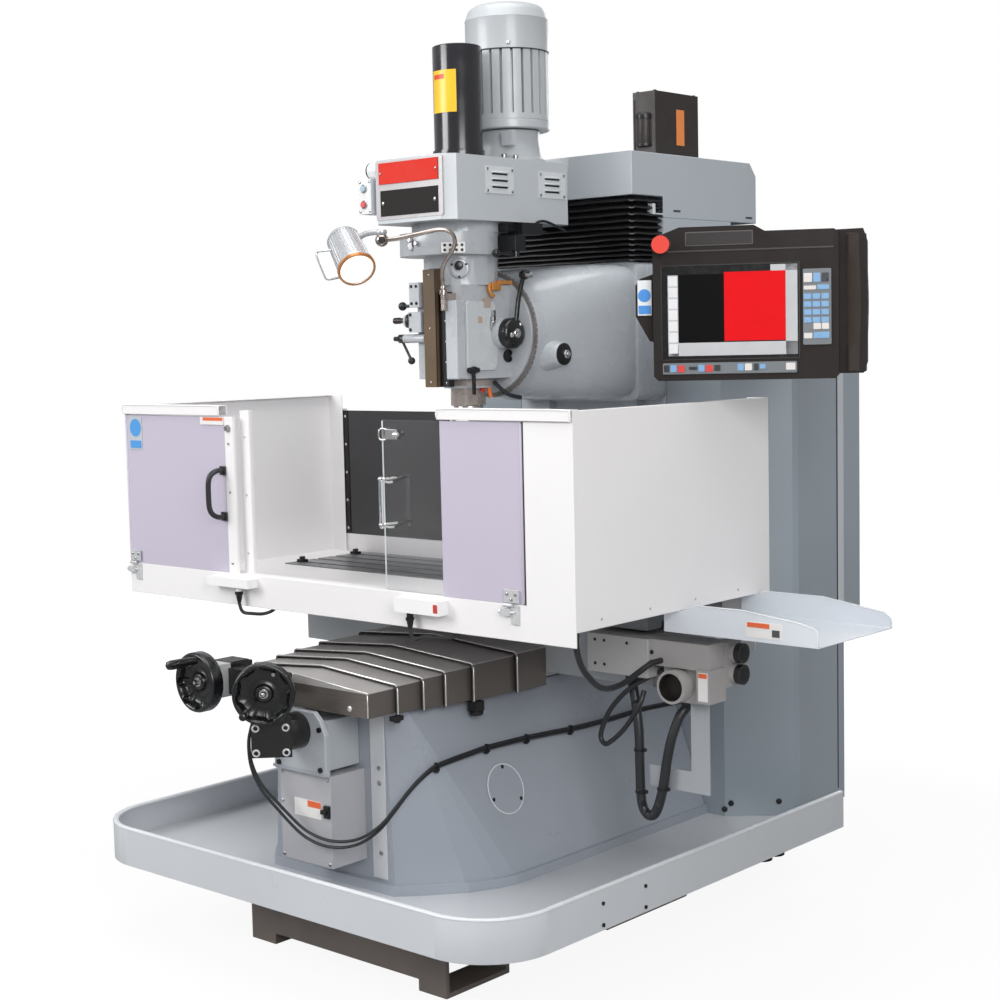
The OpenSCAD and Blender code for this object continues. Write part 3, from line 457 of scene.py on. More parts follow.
for s in (-1, 1):
    spots = [(521, 602, 304), (636, 697, 308), (506, 589, 285), (560, 633, 2020), (636, 697, 2020)]
    bolts.screws([(s * x, y, z) for x, y, z in spots], (s * 0.64, -0.77, 0), 9, 8)
    bolts.screws([(s * cabinet_side, y, 2030) for y in (780, 940)], (s, 0, 0), 6, 4)
bolts.done("cabinet_bolts", black_iron, "machine")
bracket = Stock().block(262, 298, 538, 552, 2139, 2172)
bracket.block(262, 298, 552, 590, 2139, 2143)
bracket.done("limit_bracket", finish("bracket_paint", "d8dbdd", 0.4), "machine", edge=1.2)
vents, doors = Stock(), Stock()
for s in (-1, 1):
    for z in range(1500, 1709, 26):
        vents.block(s * 330 - 120, s * 330 + 120, rear_box_back, rear_box_back + 3, z, z + 9)
    doors.block(s * 335 - 320, s * 335 + 320, rear_box_back, rear_box_back + 2, 790, 1962)
vents.screws([(x, rear_box_back, z) for x in (-640, 0, 640) for z in (820, 1930)], BACK, 8, 4)
vents.done("rear_box_vents", finish("vent_paint", "6d7379", 0.5, drift=0.08), "machine", edge=0.6)
# The rear doors share the cabinets' darker grey, which is painted shade.
doors.done("rear_box_doors", shaded_cabinet_grey, "machine", edge=1, slot="frame_paint")
door_latch = Stock().rod((60, 1118, 1380), (60, 1146, 1380), 16).block(52, 68, 1138, 1150, 1330, 1400)
door_latch.done("rear_door_latch", black_iron, "machine", edge=1.5)

# ---- Column motor
# The servo motor that drives the head up and down, in a brown-black housing with a
# recess for its plug, bolted through the top cover. It carries a bare orange plate.
dress("z_motor", finish("servo_housing", "29221f", 0.48, drift=0.1, patch=6, grain=0.15, grain_mm=2.5,
    coat=0.1), 4, 3)
plate("servo_plate", (150, 151.4, 872, 915, 2385, 2500), finish("orange_plate", "e98a45", 0.4, drift=0.03),
    "machine", edge=0.4)
servo_bits = Stock()
for z0, z1 in ((2460, 2485), (2376, 2389)):
    servo_bits.rod((104, 762, z0), (104, 762, z1), 30, 32)
servo_bits.screws([(x, y, 2553) for x in (72, 140) for y in (770, 985)], UP, 6, 4)
servo_bits.done("servo_plug_rings", finish("plug_plastic", "1d1b1b", 0.35, drift=0.1, patch=20), "machine")

# ---- Telescopic way cover
# Six folded stainless sheets nest inside each other over the bed ways. Each front edge
# has a bright polished lip over a wiper, and slides out as the saddle moves back.
lip_steel = finish("polished_lip", "e6e4e2", 0.22, 0.6, patch=20, grain=0.02)
wiper = finish("wiper_rubber", "1a1a1b", 0.55, drift=0.15, patch=20)
for k, (node, body, y0) in enumerate([("way_cover_front", "machine", -722), ("way_cover_2", "cover_2", -624),
        ("way_cover_3", "cover_3", -533), ("way_cover_4", "cover_4", -455), ("way_cover_5", "cover_5", -350),
        ("way_cover_rear", "saddle", -175)]):
    half, eave, bottom = 281 + 8 * k, 844 + 6 * k, 776 - 3 * k
    # Each sheet's top band is painted lighter than its sides: painted light where the tops catch the lamps.
    dress(node, finish(f"stainless_sheet_{k}", "77706b", 0.36, 0.5, drift=0.06, patch=3, grain=0.01,
        brushed=(3, 520, 520), zones=[("Z", eave - 2, eave + 60, "c9c5c3", 0.34, 0.45)]), 1.2)
    fold = [(-half - 2, y0 + 3, bottom), (-half - 2, y0 + 3, eave - 10), (-half + 4, y0 + 3, eave + 2)]
    fold += [(0, y0 + 3, eave + 24)] + mirrored(fold)
    if k:
        Stock().sweep(fold, 2.6, 10, flat=0.8).done(f"cover_lip_{k}", lip_steel, body, smooth=60,
            slot="stainless")
        under = [(x * 0.995, y - 5, z - 1.5) for x, y, z in fold]
        Stock().sweep(under, 1.6, 8).done(f"cover_wiper_{k}", wiper, body, smooth=60)
    else:
        edge = Stock()
        for s in (-1, 1):
            edge.rod((s * half, y0, bottom + 3), (s * half, y0, eave - 4), 1.6, 8)
            edge.rod((s * half, y0, eave), (0, y0, eave + 22), 1.6, 8)
        edge.screws([(x, y0, 796) for x in (212, -212)], FRONT, 8, 4)
        edge.done("front_cover_edge", lip_steel, body, smooth=60, slot="stainless")
feet = Stock().block(276, 298, -640, -606, 756, 769)
feet.rod((287, -622, 750), (287, -622, 758), 10)
feet.done("cover_guide_2", wiper, "cover_2", edge=1.5)
feet = Stock().block(288, 322, -345, -312, 734, 762)
feet.turned((305, -328, 722), UP, [(0, 18), (5, 20), (10, 20), (14, 14)], 24)
feet.done("cover_guide_5", wiper, "cover_5", edge=1.5)

# ---- Front gear box and its bracket
# A folded sheet box covers the bed's screw; above it a cast bracket with a flange holds
# the handwheels. A bare plate and a black catch sit low on the box.
dress("front_box", finish("front_box_paint", "afafb4", 0.38, drift=0.03, coat=0.25), 2.5)
dress("drive_bracket", finish("bracket_casting", "adb2b7", 0.36, grain=0.08, grain_mm=10, coat=0.25), 4, 3)
plate_white = finish("bare_plates", "e6e5e2", 0.42, drift=0.03, patch=20)
plate_orange = finish("plate_orange", "e2673a", 0.42, patch=20)
plate("front_box_plate", (-12, 96, box_front - 1.2, box_front, 476, 524), plate_white, "machine")
plate("front_box_plate_band", (42, 95, box_front - 2, box_front - 1, 506, 523), plate_orange, "machine")
latch = Stock().block(112, 132, box_front - 9, box_front, 486, 520)
latch.block(106, 118, box_front - 15, box_front, 497, 509)
latch.rod((122, box_front - 15, 503), (122, box_front, 503), 6)
latch.done("front_box_catch", black_iron, "machine", edge=1.2)
plate("bracket_lip", (-78, 140, -746.5, -745.2, 604, 612), casting_grey, "machine", edge=0.5,
    slot="frame_paint")

# ---- Handwheel mount
# A black turned boss on the bracket carries a machined plate, two silver encoders and
# the shafts of the wheels. Four socket screws hold the plate.
dress("handwheel_mount", finish("mount_anodising", "1c1b1b", 0.36, 0.1, drift=0.12, patch=20, coat=0.15), 2)
dress("fasteners", black_iron, 0.8)
silver = finish("encoder_silver", "cfd0d1", 0.36, 0.35, drift=0.06, patch=20, grain=0.04)
turned_unit = Matrix.Translation((0.04, -0.868, 0)) @ Matrix.Rotation(math.radians(45), 4, "Z")
flange = Stock(turned_unit)
for x in (-27, 53):
    for z in (681, 748):
        flange.turned((x, 0, z), FRONT, [(0, 11), (5, 11), (6, 9.5), (6, 5.5), (2, 5)], 20)
flange.block(-47, 47, 8.2, 17, 798, 892).done("front_encoder_flange", silver, "machine", edge=1.5)
flange = Stock().block(-264, -172, -857.6, -806, 799, 891)
flange.screws([(x, -857.6, z) for x in (-254, -182) for z in (809, 881)], FRONT, 5, 3)
flange.done("left_encoder_flange", silver, "machine", edge=1.5)
lid = finish("encoder_lid", "2a2929", 0.3, 0.2, drift=0.15, patch=15, coat=0.3)
Stock(turned_unit).block(-37, 37, 20, 60, 888, 892).done("front_encoder_lid", lid, "machine", edge=1)
plate("left_encoder_lid", (-254, -182, -798, -732, 887, 891), lid, "machine", edge=1, slot=None)
gland = Stock().turned((-100, -790, 772), DOWN, [(0, 15), (10, 15), (12, 12), (20, 12), (34, 6.5)], 20)
gland.nut((-100, -790, 790), DOWN, 17, 12)
gland.done("lead_gland", rubber, "machine", smooth=40)

# ---- Handwheels
# Moulded black wheels with eight finger hollows round the face and a chrome nut. The
# front one has a fixed grip; the left one's grip turns on its own pin.
wheel_black = finish("wheel_plastic", "101113", 0.3, drift=0.1, patch=15, grain=0.02, grain_mm=4, coat=0.25)
chrome = finish("chrome", "d6d6d6", 0.12, 1.0, patch=30, grain=0.02)
fingers = 8


def handwheel(name, hub, out, node, body, turn, dot=None):
    """A wheel facing out from its hub, with its finger hollows turned by turn radians."""
    u = across_from(out).normalized()
    v = out.cross(u)
    wheel, nuts = Stock(), Stock()
    back = [(9, 2), (40, 2), (66, 3), (70, 0), (81, 0)]
    face = [(83, 4), (83, 31), (81.5, 35.5), (78, 38), (74, 37.6), (70, 35), (67.5, 29), (66, 22), (64, 15),
        (60, 11), (40, 11), (26, 11), (24, 13), (23, 22), (20, 24), (9, 24)]
    rings = []
    for r, h in back + face:
        in_face = h > 10 and 59 < r < 71
        hollow = (4.5 if r > 69 else 9) if in_face else 0
        ring = []
        for k in range(128):
            c, s = spoke(360 * k / 128)
            deep = max(0.0, math.cos(fingers * (math.tau * k / 128 - turn))) ** 0.6
            ring.append(hub + out * h + (u * c + v * s) * (r + hollow * deep))
        rings.append(ring)
    wheel.loft(rings, caps=False)
    wheel.done(name, wheel_black, body, smooth=50, stands_for=[node], slot="black_plastic", weld=True)
    nuts.rod(hub + out * 22, hub + out * 26, 13, 24).nut(hub + out * 26, out, 9, 8)
    nuts.rod(hub + out * 33, hub + out * 37, 5, 16)
    if dot:
        c, s = spoke(dot)
        spot = hub + (u * c + v * s) * 56
        nuts.rod(spot + out * 10.5, spot + out * 15, 6, 20)
    nuts.done(name + "_nut", chrome, body, smooth=30)


facing = Vector((1, -1, 0)).normalized()
wheel_z = 845
handwheel("front_handwheel", Vector((40, -868, wheel_z)) + facing * 5, facing, "wheel_front", "front_wheel",
    0.2, dot=242)
handwheel("left_handwheel", Vector((-218, -862, wheel_z)), Vector(FRONT), "wheel_left", "left_wheel", 0.1)
grip = [(0, 7), (3, 10), (44, 11), (58, 10.6), (63, 8), (65, 3)]
Stock(turned_unit).turned((-50, -40, 800), FRONT, grip, 24).done("front_wheel_grip", wheel_black, "front_wheel",
    slot="black_plastic")
pin_x, pin_z = -203, 909
Stock().rod((pin_x, -898, pin_z), (pin_x, -990, pin_z), 5, 16).done("left_grip_pin", chrome, "left_wheel")
grip = [(0, 7), (3, 11), (16, 12), (50, 13), (84, 13.3), (94, 11.5), (98, 7), (99.4, 2)]
Stock().turned((pin_x, -900.6, pin_z), FRONT, grip, 28).done("left_wheel_grip", wheel_black, "left_grip",
    stands_for=["handle_left"], slot="black_plastic")

# ---- Saddle and cross drive
# The saddle casting slides on the bed; a sheet junction box and the table's cross drive
# hang on its right end, with a round cable port and two black end caps.
saddle_grey = finish("saddle_paint", "aeb2b5", 0.38, grain_mm=10, coat=0.2)
dress("saddle", saddle_grey, 2)
dress("junction_box", finish("junction_box_paint", "a9a8a7", 0.42, drift=0.04, coat=0.15), 3)
dress("x_drive", finish("drive_paint", "a09d9c", 0.4, coat=0.2, zones=[("X", 985, 1010, "1c1a1a", 0.34, 0)]), 3,
    3)
dress("cable_bracket", finish("bracket_sheet", "a3a7ab", 0.4, coat=0.2), 0.6)
port_x, port_z = 854, 836
# A dark disc at the bore's bottom and a thin dark liner on its wall paint the shade inside the port.
port = Stock().turned((port_x, -136, port_z), BACK, [(0, 36), (0.8, 36.5), (1, 5)], 48)
port.turned((port_x, -165, port_z), BACK, [(0, 36.8), (30, 36.8), (30, 36.2), (0, 36.2)], 48, caps=False)
port.done("port_shade_liner", finish("port_rubber_and_shade", "201c1a", 0.5, drift=0.2, patch=25, grain=0.2,
    grain_mm=8), "saddle")
lid_holes = [(590, 938), (622, 938), (700, 938), (590, 872), (622, 872)]
holes = Stock().screws([(x, -150, z) for x, z in lid_holes], FRONT, 4.5, 2)
holes.screws([(776, -139, z) for z in (920, 893)], FRONT, 6, 4)
for z in (924, 867):
    holes.turned((1001, -37, z), RIGHT, [(0, 20), (1.5, 19), (2, 12)], 28)
holes.done("drive_screws", black_iron, "saddle")
cable_clips = Stock()
for x, y, z in [(711, -115, 640), (716, -118, 525), (793, -122, 545)]:
    cable_clips.turned((x, y, z - 4), UP, [(0, 15.5), (7, 15.5)], 20)
    cable_clips.block(x + 12, x + 22, y - 5, y + 5, z - 4, z + 5)
cable_clips.done("hose_clips", black_iron, "saddle", edge=0.8)
plate("drive_plate", (930, 960, -146, -145, 806, 882), plate_white, "saddle")
plate("drive_plate_band", (932, 958, -147, -146, 868, 880), plate_orange, "saddle")
loop = [(716, -96, 800), (715, -112, 770), (700, -118, 740), (660, -116, 690), (622, -118, 655),
    (594, -118, 640), (578, -116, 662), (600, -114, 720), (640, -114, 770), (690, -114, 812), (740, -110, 842),
    (790, -100, 868)]
Stock().sweep(drawn(loop, 6), 7, 10).done("drive_lead", rubber, "saddle", slot="cable")

# ---- Splash back
# White sheet standing behind the table on the saddle, with a smoked window each side,
# clamped down its edge by a black strip and small bright screws.
guard_white = finish("guard_powder", "eceaea", 0.42, drift=0.02, patch=1.5, grain=0.1, grain_mm=2.2, coat=0.08)
dress("splash_frame", guard_white, 1.2)
dress("splash_windows", finish("smoked_glass", "17171b", 0.09, drift=0.3, patch=6, grain=0.01, coat=0.7), 0.8)
clamp, heads = Stock(), Stock()
for s in (-1, 1):
    for x in (330, 806):
        clamp.block(*sorted((s * x, s * (x + 22))), 259.3, 262, 1114, 1532)
        heads.screws([(s * (x + 11), 259.6, z) for z in range(1130, 1515, 96)], FRONT, 5, 0.9)
clamp.done("window_clamps", finish("clamp_strip", "151516", 0.45, drift=0.1, patch=10), "saddle", edge=0.6)
heads.done("window_screws", chrome, "saddle")

# ---- Table
# The ground cast iron table, with four T-slots along it, carries stop bolts at both its
# ends. It slides on the saddle's rails.
dress("table", finish("ground_table", "87888a", 0.32, 0.75, drift=0.1, patch=7, grain=0.04, brushed=(2, 90, 90),
    zones=[("Z", 900, 1046, "7c7f83", 0.5, 0.2)]), 1.2)
slot_lines = (-47, 33, 113, 193)
stops = Stock()
for x in (-715, 690):
    for y in (slot_lines[0], slot_lines[-1]):
        stops.block(x - 16, x + 16, y - 11, y + 11, 1053, 1061).nut((x, y, 1061), UP, 10, 9)
stops.done("table_stops", black_iron, "table", edge=1)
# Dark strips low in the T-slots are painted shade in the slots.
slot_shade = Stock()
for y in slot_lines:
    slot_shade.block(-736, 736, y - 7.6, y + 7.6, 1018, 1030)
slot_shade.done("slot_bottoms", finish("slot_shadow", "2b2a29", 0.6, 0.3, drift=0.2, patch=30), "table")

# ---- Guard round the table
# A folded sheet tray and guard in white powder coat, carried by the table. Two rolled
# hoods run along the top, and switch boxes for the doors hang under the apron's top.
dress("guard", guard_white, 2.2, 3)
dress("interlocks", finish("switch_box_coat", "efeeee", 0.4, drift=0.02,
    zones=[("Z", 1039, 1053.6, "191919", 0.5, 0)]), 1.5)
guard_side = 893
hood_ends = Stock()
for x0, x1 in [(-guard_side, -428), (447, guard_side)]:
    left_end = [(1, -607, 1566), (1, -609.5, 1576), (3, -608, 1588), (40, -608, 1589.5)]
    line = [(x0 + x, y, z) for x, y, z in left_end] + [(x1 - x, y, z) for x, y, z in reversed(left_end)]
    hood_ends.sweep(line, 2.6, 8)
hood_ends.done("hood_rolled_edges", guard_white, "table", smooth=60, slot="white_sheet")
glands, leads = Stock(), Stock()
gland_y = -620
for x, z, end in [(-350, 1052, -250), (345, 1040, 480)]:
    glands.nut((x, gland_y, z), DOWN, 12, 9)
    glands.turned((x, gland_y, z - 8), DOWN, [(0, 9), (6, 9), (22, 5.5)], 18)
    run = [(x, gland_y, z - 10), (x, gland_y, z - 34), (x + 12, gland_y + 2, z - 58), (x + 40, -606, 990)]
    run += [(end - 30, -586, 990), (end, -572, 1006), (end + 8, -566, 1044)]
    leads.sweep(drawn(run, 5), 5, 10)
glands.done("switch_glands", black_iron, "table", smooth=40)
leads.done("switch_leads", rubber, "table", slot="cable")
plate("switch_red_plate", (448, 462, -639.2, -638, 1062, 1084),
    finish("switch_red", "c43a33", 0.4, drift=0.04), "table")
plate("door_gap", (729.7, 733.6, -599.4, -597, 1102, 1586), finish("gap_rubber", "2c2c30", 0.6, drift=0.1),
    "table", slot=None)
post = Stock().screws([(-354, -575, z) for z in (1160, 1330, 1500)], FRONT, 4, 2)
for x, along in ((guard_side, RIGHT), (-guard_side, LEFT)):
    post.screws([(x, y, 1068) for y in (-500, -300, -100, 100)], along, 3.5, 1.6)
post.done("guard_screws", finish("guard_screws", "c9c9ca", 0.3, 0.8), "table")

# ---- Chip chute
# A painted sheet trough bolted under the guard's right end, open at its outer end, that
# carries chips clear of the bed. It has a bare plate on its front wall.
dress("chip_chute", finish("chute_paint", "d9dee4", 0.36, drift=0.03, coat=0.25), 1.2)
plate("chute_plate", (1100, 1207, -174, -173, 998, 1038), plate_white, "table")
plate("chute_plate_band", (1104, 1170, -175, -174, 1024, 1036), plate_orange, "table")
plate("chute_plate_square", (1178, 1200, -175, -174, 1004, 1022), finish("plate_grey", "4c4c50", 0.42), "table")
edges = Stock()
for y, line in ((-171.5, [(1308, 992), (1308, 1024), (1300, 1034), (1250, 1046), (1085, 1063), (946, 1063)]),
        (191.5, [(1308, 992), (1308, 1012), (1290, 1028), (1104, 1054), (914, 1054)])):
    edges.sweep([(x, y, z) for x, z in line], 2.6, 8)
edges.done("chute_edges", finish("chute_edge_paint", "d9dde1", 0.34, drift=0.02, coat=0.2), "table", smooth=60,
    slot="frame_paint")

# ---- Guard doors
# Two sheet doors still wear their lavender film and hang on bolted silver hinge plates.
# The left one has a white stile, a lock and a black moulded bow handle.
film = ["bfb8c8", 0.45]
dress("left_door", finish("door_film_left", *film, drift=0.015, patch=1, grain=0.02, coat=0.05,
    zones=[("X", -411, -372, "eeecec", 0.42, 0), ("Z", 1100, 1101.2, "eeecec", 0.42, 0)]), 0.8)
dress("right_door", finish("door_film_right", *film, drift=0.015, patch=1, grain=0.02, coat=0.05), 0.8)
bow_middle = 1334
bow = [(-420, -604, -66), (-421, -626, -68), (-426, -645, -58), (-431, -652, -38), (-432, -653, 0)]
bow = [(x, y, bow_middle + z) for x, y, z in bow + [(x, y, -z) for x, y, z in reversed(bow[:-1])]]
handle = Stock().sweep(drawn(bow, 6), 9.5, 16, across=RIGHT, flat=0.8)
for z in (bow_middle - 67, bow_middle + 67):
    handle.block(-432, -408, -610, -603.5, z - 13, z + 13)
handle.done("door_bow_handle", finish("handle_plastic", "1e1f21", 0.4, drift=0.08, patch=20, grain=0.12,
    grain_mm=1.5, coat=0.1), "left_door", edge=1, smooth=50, stands_for=["left_door_handle"],
    slot="black_plastic")
hinge_z = 1081
for side_name, x, body, z in [("left", -856, "left_door", 1124), ("right", 690, "right_door", 1121)]:
    hinge = Stock().block(x - 24, x + 24, -606.5, -604, z - 16, z + 17)
    hinge.rod((x - 26, -608, z - 22), (x + 4, -608, z - 22), 5, 16)
    hinge.done(f"{side_name}_hinge_leaf", silver, body, edge=0.8)
    pins = Stock().screws([(x + dx, -606.5, z + dz) for dx, dz in [(-14, 6), (14, 6), (0, -8)]], FRONT, 4.5, 3)
    pins.done(f"{side_name}_hinge_screws", steel, body)
    fixed = Stock().block(x - 4, x + 22, -604, -600, hinge_z - 31, hinge_z + 18)
    fixed.block(x - 34, x - 4, -612, -600, hinge_z - 9, hinge_z + 9).nut((x - 34, -606, hinge_z), LEFT, 7, 6)
    fixed.rod((x - 44, -606, hinge_z), (x + 10, -606, hinge_z), 3.5, 12)
    fixed.done(f"{side_name}_hinge_clevis", silver, "table", edge=1)
lock_x, door_face = -394, -603
lock = Stock().screws([(lock_x, door_face, z) for z in (1339, 1480, 1130)], FRONT, 4.5, 3)
lock.turned((lock_x, door_face, 1524), FRONT, [(0, 11), (3, 11), (6, 8), (9, 8)], 24)
lock.done("left_door_lock", steel, "left_door")
plate("door_badge", (-868, -806, -602, -600, 1452, 1552), finish("grey_plate", "b9bec4", 0.4, drift=0.03),
    "left_door", edge=0.5)
badge = Stock().turned((-837, -601.8, 1519), FRONT, [(0, 27), (1, 27)], 48)
badge.block(-864, -810, -602.8, -601.8, 1457, 1480).done(
    "door_badge_blue", finish("blue_plate", "4a96d8", 0.4, drift=0.03, coat=0.1), "left_door", slot="plates")
Stock().block(-520, -414, -604, -603.2, 1534, 1556).block(-520, -414, -603.4, -600, 1534, 1556).done(
    "door_plate", plate_white, "left_door", slot="plates")
plate("door_plate_band", (-506, -416, -605, -604, 1546, 1555), plate_orange, "left_door")

# ---- Sliding clear door
# A sheet of clear acrylic runs behind the right door in the guard's channel, with a
# chrome catch at its top corner and a clear-gripped chrome handle.
def ramp(tree, value, a, b):
    """A colour that runs from a to b as value goes from 0 to 1."""
    made = add_node(tree, "ValToRGB", (0, value))
    for stop, colour in zip(made.color_ramp.elements, (a, b)):
        stop.color = (*colour, 1)
    return made.outputs[0]


acrylic, tree, shell = blank_material("clear_acrylic")
where = add_node(tree, "TexCoord").outputs["Object"]
haze = add_node(tree, "TexNoise", ("Scale", 9), ("Vector", where)).outputs["Fac"]
connect(tree, shell, ("Transmission Weight", 1.0), ("IOR", 1.35),
    ("Base Color", ramp(tree, haze, (0.93, 0.96, 0.97), (1, 1, 1))),
    ("Roughness", ramp(tree, haze, (0.01,) * 3, (0.05,) * 3)))
dress("clear_door", acrylic, 0)
# A pale opaque strip down the acrylic's edge is a painted highlight where the edge catches light.
plate("acrylic_edge", (226.2, 227.6, -588.4, -582.6, 1103, 1554),
    finish("acrylic_edge_highlight", "e8eef0", 0.2, coat=0.4), "clear_door", slot="clear")
pull = Stock()
hook = [(262, -588, -8), (258, -602, -8), (256, -622, -2), (258, -636, 3), (266, -638, 4), (275, -632, 4),
    (278, -612, 4), (276, -588, 4)]
for end_z in (1280, 1400):
    pull.sweep(drawn([(x, y, end_z + z) for x, y, z in hook], 4), 3.2, 10)
staple = [(244, -589, 1532), (237, -598, 1534), (232, -604, 1530), (232, -604, 1508), (237, -598, 1504),
    (244, -589, 1506)]
pull.sweep(drawn(staple, 4), 2.6, 8)
pull.block(232, 284, -595, -588, 1506, 1532).rod((278, -597, 1519), (296, -597, 1519), 6, 16)
pull.done("clear_door_chrome", chrome, "clear_door", smooth=50, edge=0.8, stands_for=["clear_door_handle"],
    slot="steel")
Stock().turned((267, -638, 1272), UP, [(0, 4), (4, 6), (132, 6), (138, 4)], 20).done(
    "clear_door_grip", acrylic, "clear_door", slot="clear")


# ---- Ram
# The ram casting slides on the column and narrows in one smooth sweep to the round face
# that the head turns on. A side boss takes a pivot bolt.
swivel_z = 1780


def oval(half_w, half_h, y, power):
    """A ring round the swivel's axis: power 2 makes it round, and a high power square."""
    ring = []
    for k in range(96):
        x, z = (math.copysign(abs(v) ** (2 / power), v) for v in spoke(360 * (k + 0.5) / 96))
        ring.append((half_w * x, y, swivel_z + half_h * z))
    return ring


rings = [oval(300, 215, y, 22) for y in (587.9, 540, 480, 462)] + [oval(298, 214, 452, 20)]
for t in (k / 24 for k in range(25)):
    ease = t * t * (3 - 2 * t)
    swell = math.sin(math.pi * t) * 14
    half_w, half_h = 292 - 102 * ease ** 0.9 + swell, 208 - 18 * ease + swell * 0.2
    rings.append(oval(half_w, half_h, 448 - 318 * t, 2 + 6.5 * (1 - t) ** 1.4))
rings += [oval(r, r, y, 2) for r, y in ((190, 118), (189, 108), (186, 102), (60, 101))]
ram = Stock().loft(rings)
boss_y, boss_z = 178, 1716
ram.turned((168, boss_y, boss_z), RIGHT, [(0, 52), (26, 43), (44, 37), (55, 35), (58, 32)], 40)
ram.done("ram_casting", finish("ram_paint", "b4b9be", 0.27, drift=0.035, grain_mm=18, coat=0.45), "head",
    smooth=40, stands_for=["ram"], slot="frame_paint")
Stock().turned((226, boss_y, boss_z), RIGHT, [(0, 33), (5, 33), (7, 30)], 40).done(
    "ram_pivot_washer", black_iron, "head")
Stock().nut((232, boss_y, boss_z), RIGHT, 14, 12).rod((243, boss_y, boss_z), (250, boss_y, boss_z), 8, 20).done(
    "ram_pivot_bolt", steel, "head", edge=0.8)
scale = [(0, 181), (0.5, 190.5), (7.5, 191.5), (8, 181)]
Stock().turned((0, 96, swivel_z), BACK, scale, 128, caps=False).done(
    "swivel_ring", finish("swivel_steel", "8b8784", 0.34, 0.5, drift=0.12, patch=12, grain=0.04),
    "head", smooth=40)
ticks = Stock()
for degrees in range(-60, 125, 5):
    x, z = spoke(degrees, 191.4)
    length = 5 if degrees % 10 else 7
    ticks.rod((x, 103, swivel_z + z), (x, 103 - length, swivel_z + z), 0.7, 6)
ticks.done("swivel_graduations", finish("tick_enamel", "e6e6e6", 0.5), "head")

# ---- Head casting
# The quill head hangs on the swivel face: a cast box with a machined neck, a side panel,
# a knob disc, and the feed rods and stop block on its left.
head_grey = finish("head_paint", "b9bdc1", 0.3, drift=0.045, patch=4, grain=0.06, grain_mm=12, coat=0.4)
dress("head_casting", head_grey, 4, 3)
panel_edge = [(-100, 1673), (12, 1673), (24, 1688), (28, 1742), (18, 1760), (12, 1790), (18, 1836), (20, 1866),
    (10, 1877), (-100, 1877), (-108, 1868), (-108, 1682)]
Stock().loft([[(x, y, z) for y, z in panel_edge] for x in (94, 101.5)]).done(
    "head_side_panel", finish("panel_paint", "c6cacd", 0.3, drift=0.03, coat=0.35), "head", edge=3,
    slot="frame_paint")
plate("head_front_rib", (49, 95, -146, -108, 1650, 1880), head_grey, "head", edge=5, slot="frame_paint")
collar = Stock().turned((0, 0, 1628), UP, [(0, 73.5), (1, 76), (18, 76), (21, 74)], 56)
collar.done("quill_collar", finish("collar_steel", "a8a19b", 0.38, 0.3, drift=0.15, patch=20),
    "head", smooth=30)
outward, across = Vector((0.649, -0.761, 0)), Vector((0.761, 0.649, 0))
neck = Vector((-5, -14, 1972))
disc_profile = [(0, 28.6), (9, 28.6), (11, 27), (11.5, 22), (10.5, 21), (10.5, 5)]
Stock().turned(neck + outward * 106, outward, disc_profile, 48).done(
    "neck_disc", finish("disc_casting", "a9adb1", 0.32, 0.3, drift=0.06), "head")
neck_knob = Stock().turned(neck + outward * 116 + Vector((0, 0, 8)), outward,
    [(0, 8), (6, 8), (7, 12), (18, 13), (23, 10), (24, 3)], 28)
for x, z in (spoke(a, 24) for a in (30, 150, 270)):
    neck_knob.screw(neck + outward * 117 + across * x + Vector((0, 0, z)), outward, 3.4, 3)
neck_knob.done("neck_knob", wheel_black, "head", slot="black_plastic")
terminal_place = Matrix.Translation((0.088, -0.145, 0)) @ Matrix.Rotation(math.radians(47), 4, "Z")
Stock(terminal_place).block(-35, 35, -14, 6, 2014, 2046).done(
    "terminal_block", finish("terminal_white", "e4e4e2", 0.35, drift=0.03), "head", edge=2)
sockets = Stock(terminal_place).screws([(x, -14, z) for x in (-25, -9, 9, 25) for z in (2023, 2037)],
    FRONT, 4.4, 1.5)
sockets.done("terminal_screws", black_iron, "head")
clamp_bar = Stock().block(-40, -26, -200, -178, 2028, 2064).rod((-33, -204, 2056), (-33, -172, 2056), 8, 16)
clamp_bar.nut((-10, -194, 2046), FRONT, 8, 8).done("pipe_clamp", steel, "head", edge=1)
nameplate = Stock().block(101.2, 102.4, -60, -42, 1813, 1832)
nameplate.block(101.2, 102.4, -34, -4, 1858, 1886)
nameplate.done("head_small_plates", finish("bronze_plate", "b9a595", 0.45, 0.1), "head", slot="plates")
catch = Stock().rod((101, 2, 1826), (112, 2, 1826), 4, 12)
catch.block(106, 112, -3, 7, 1812, 1850).block(104, 108, -9, -3, 1790, 1830).done(
    "feed_catch", steel, "head", edge=0.8)
Stock().turned((93, 74, 1714), RIGHT, [(0, 19), (8, 19), (9, 15), (4, 14)], 32).done(
    "feed_socket", black_iron, "head")
rod_y, rod_z, rod_end = -128, 1826, -176
feed_rod = Stock().turned((-100, rod_y, rod_z - 2), LEFT, [(0, 23), (10, 23), (12, 19)], 32)
for x, r in ((-121, 8), (-150, 9.5)):
    feed_rod.rod((x, rod_y, rod_z), (rod_end, rod_y, rod_z), r, 20)
feed_rod.done("feed_rod", finish("dark_steel", "4d4745", 0.34, 0.85, drift=0.1, patch=20), "head")
Stock().ball((-128, -140, 1868), 13).rod((-118, -138, 1868), (-92, -132, 1868), 5, 14).done(
    "trip_knob", wheel_black, "head", slot="black_plastic")
block_screws = Stock().screws([(x, -150.6, z) for x in (-80, -60) for z in (1925, 1875)], FRONT, 4.5, 3)
block_screws.screws([(-92, -145.6, z) for z in (1842, 1798)], FRONT, 5, 3).done(
    "feed_block_screws", black_iron, "head")
yoke = Stock().block(96, 112, -6, 34, 1908, 1932).block(92, 106, 30, 92, 1926, 1938)
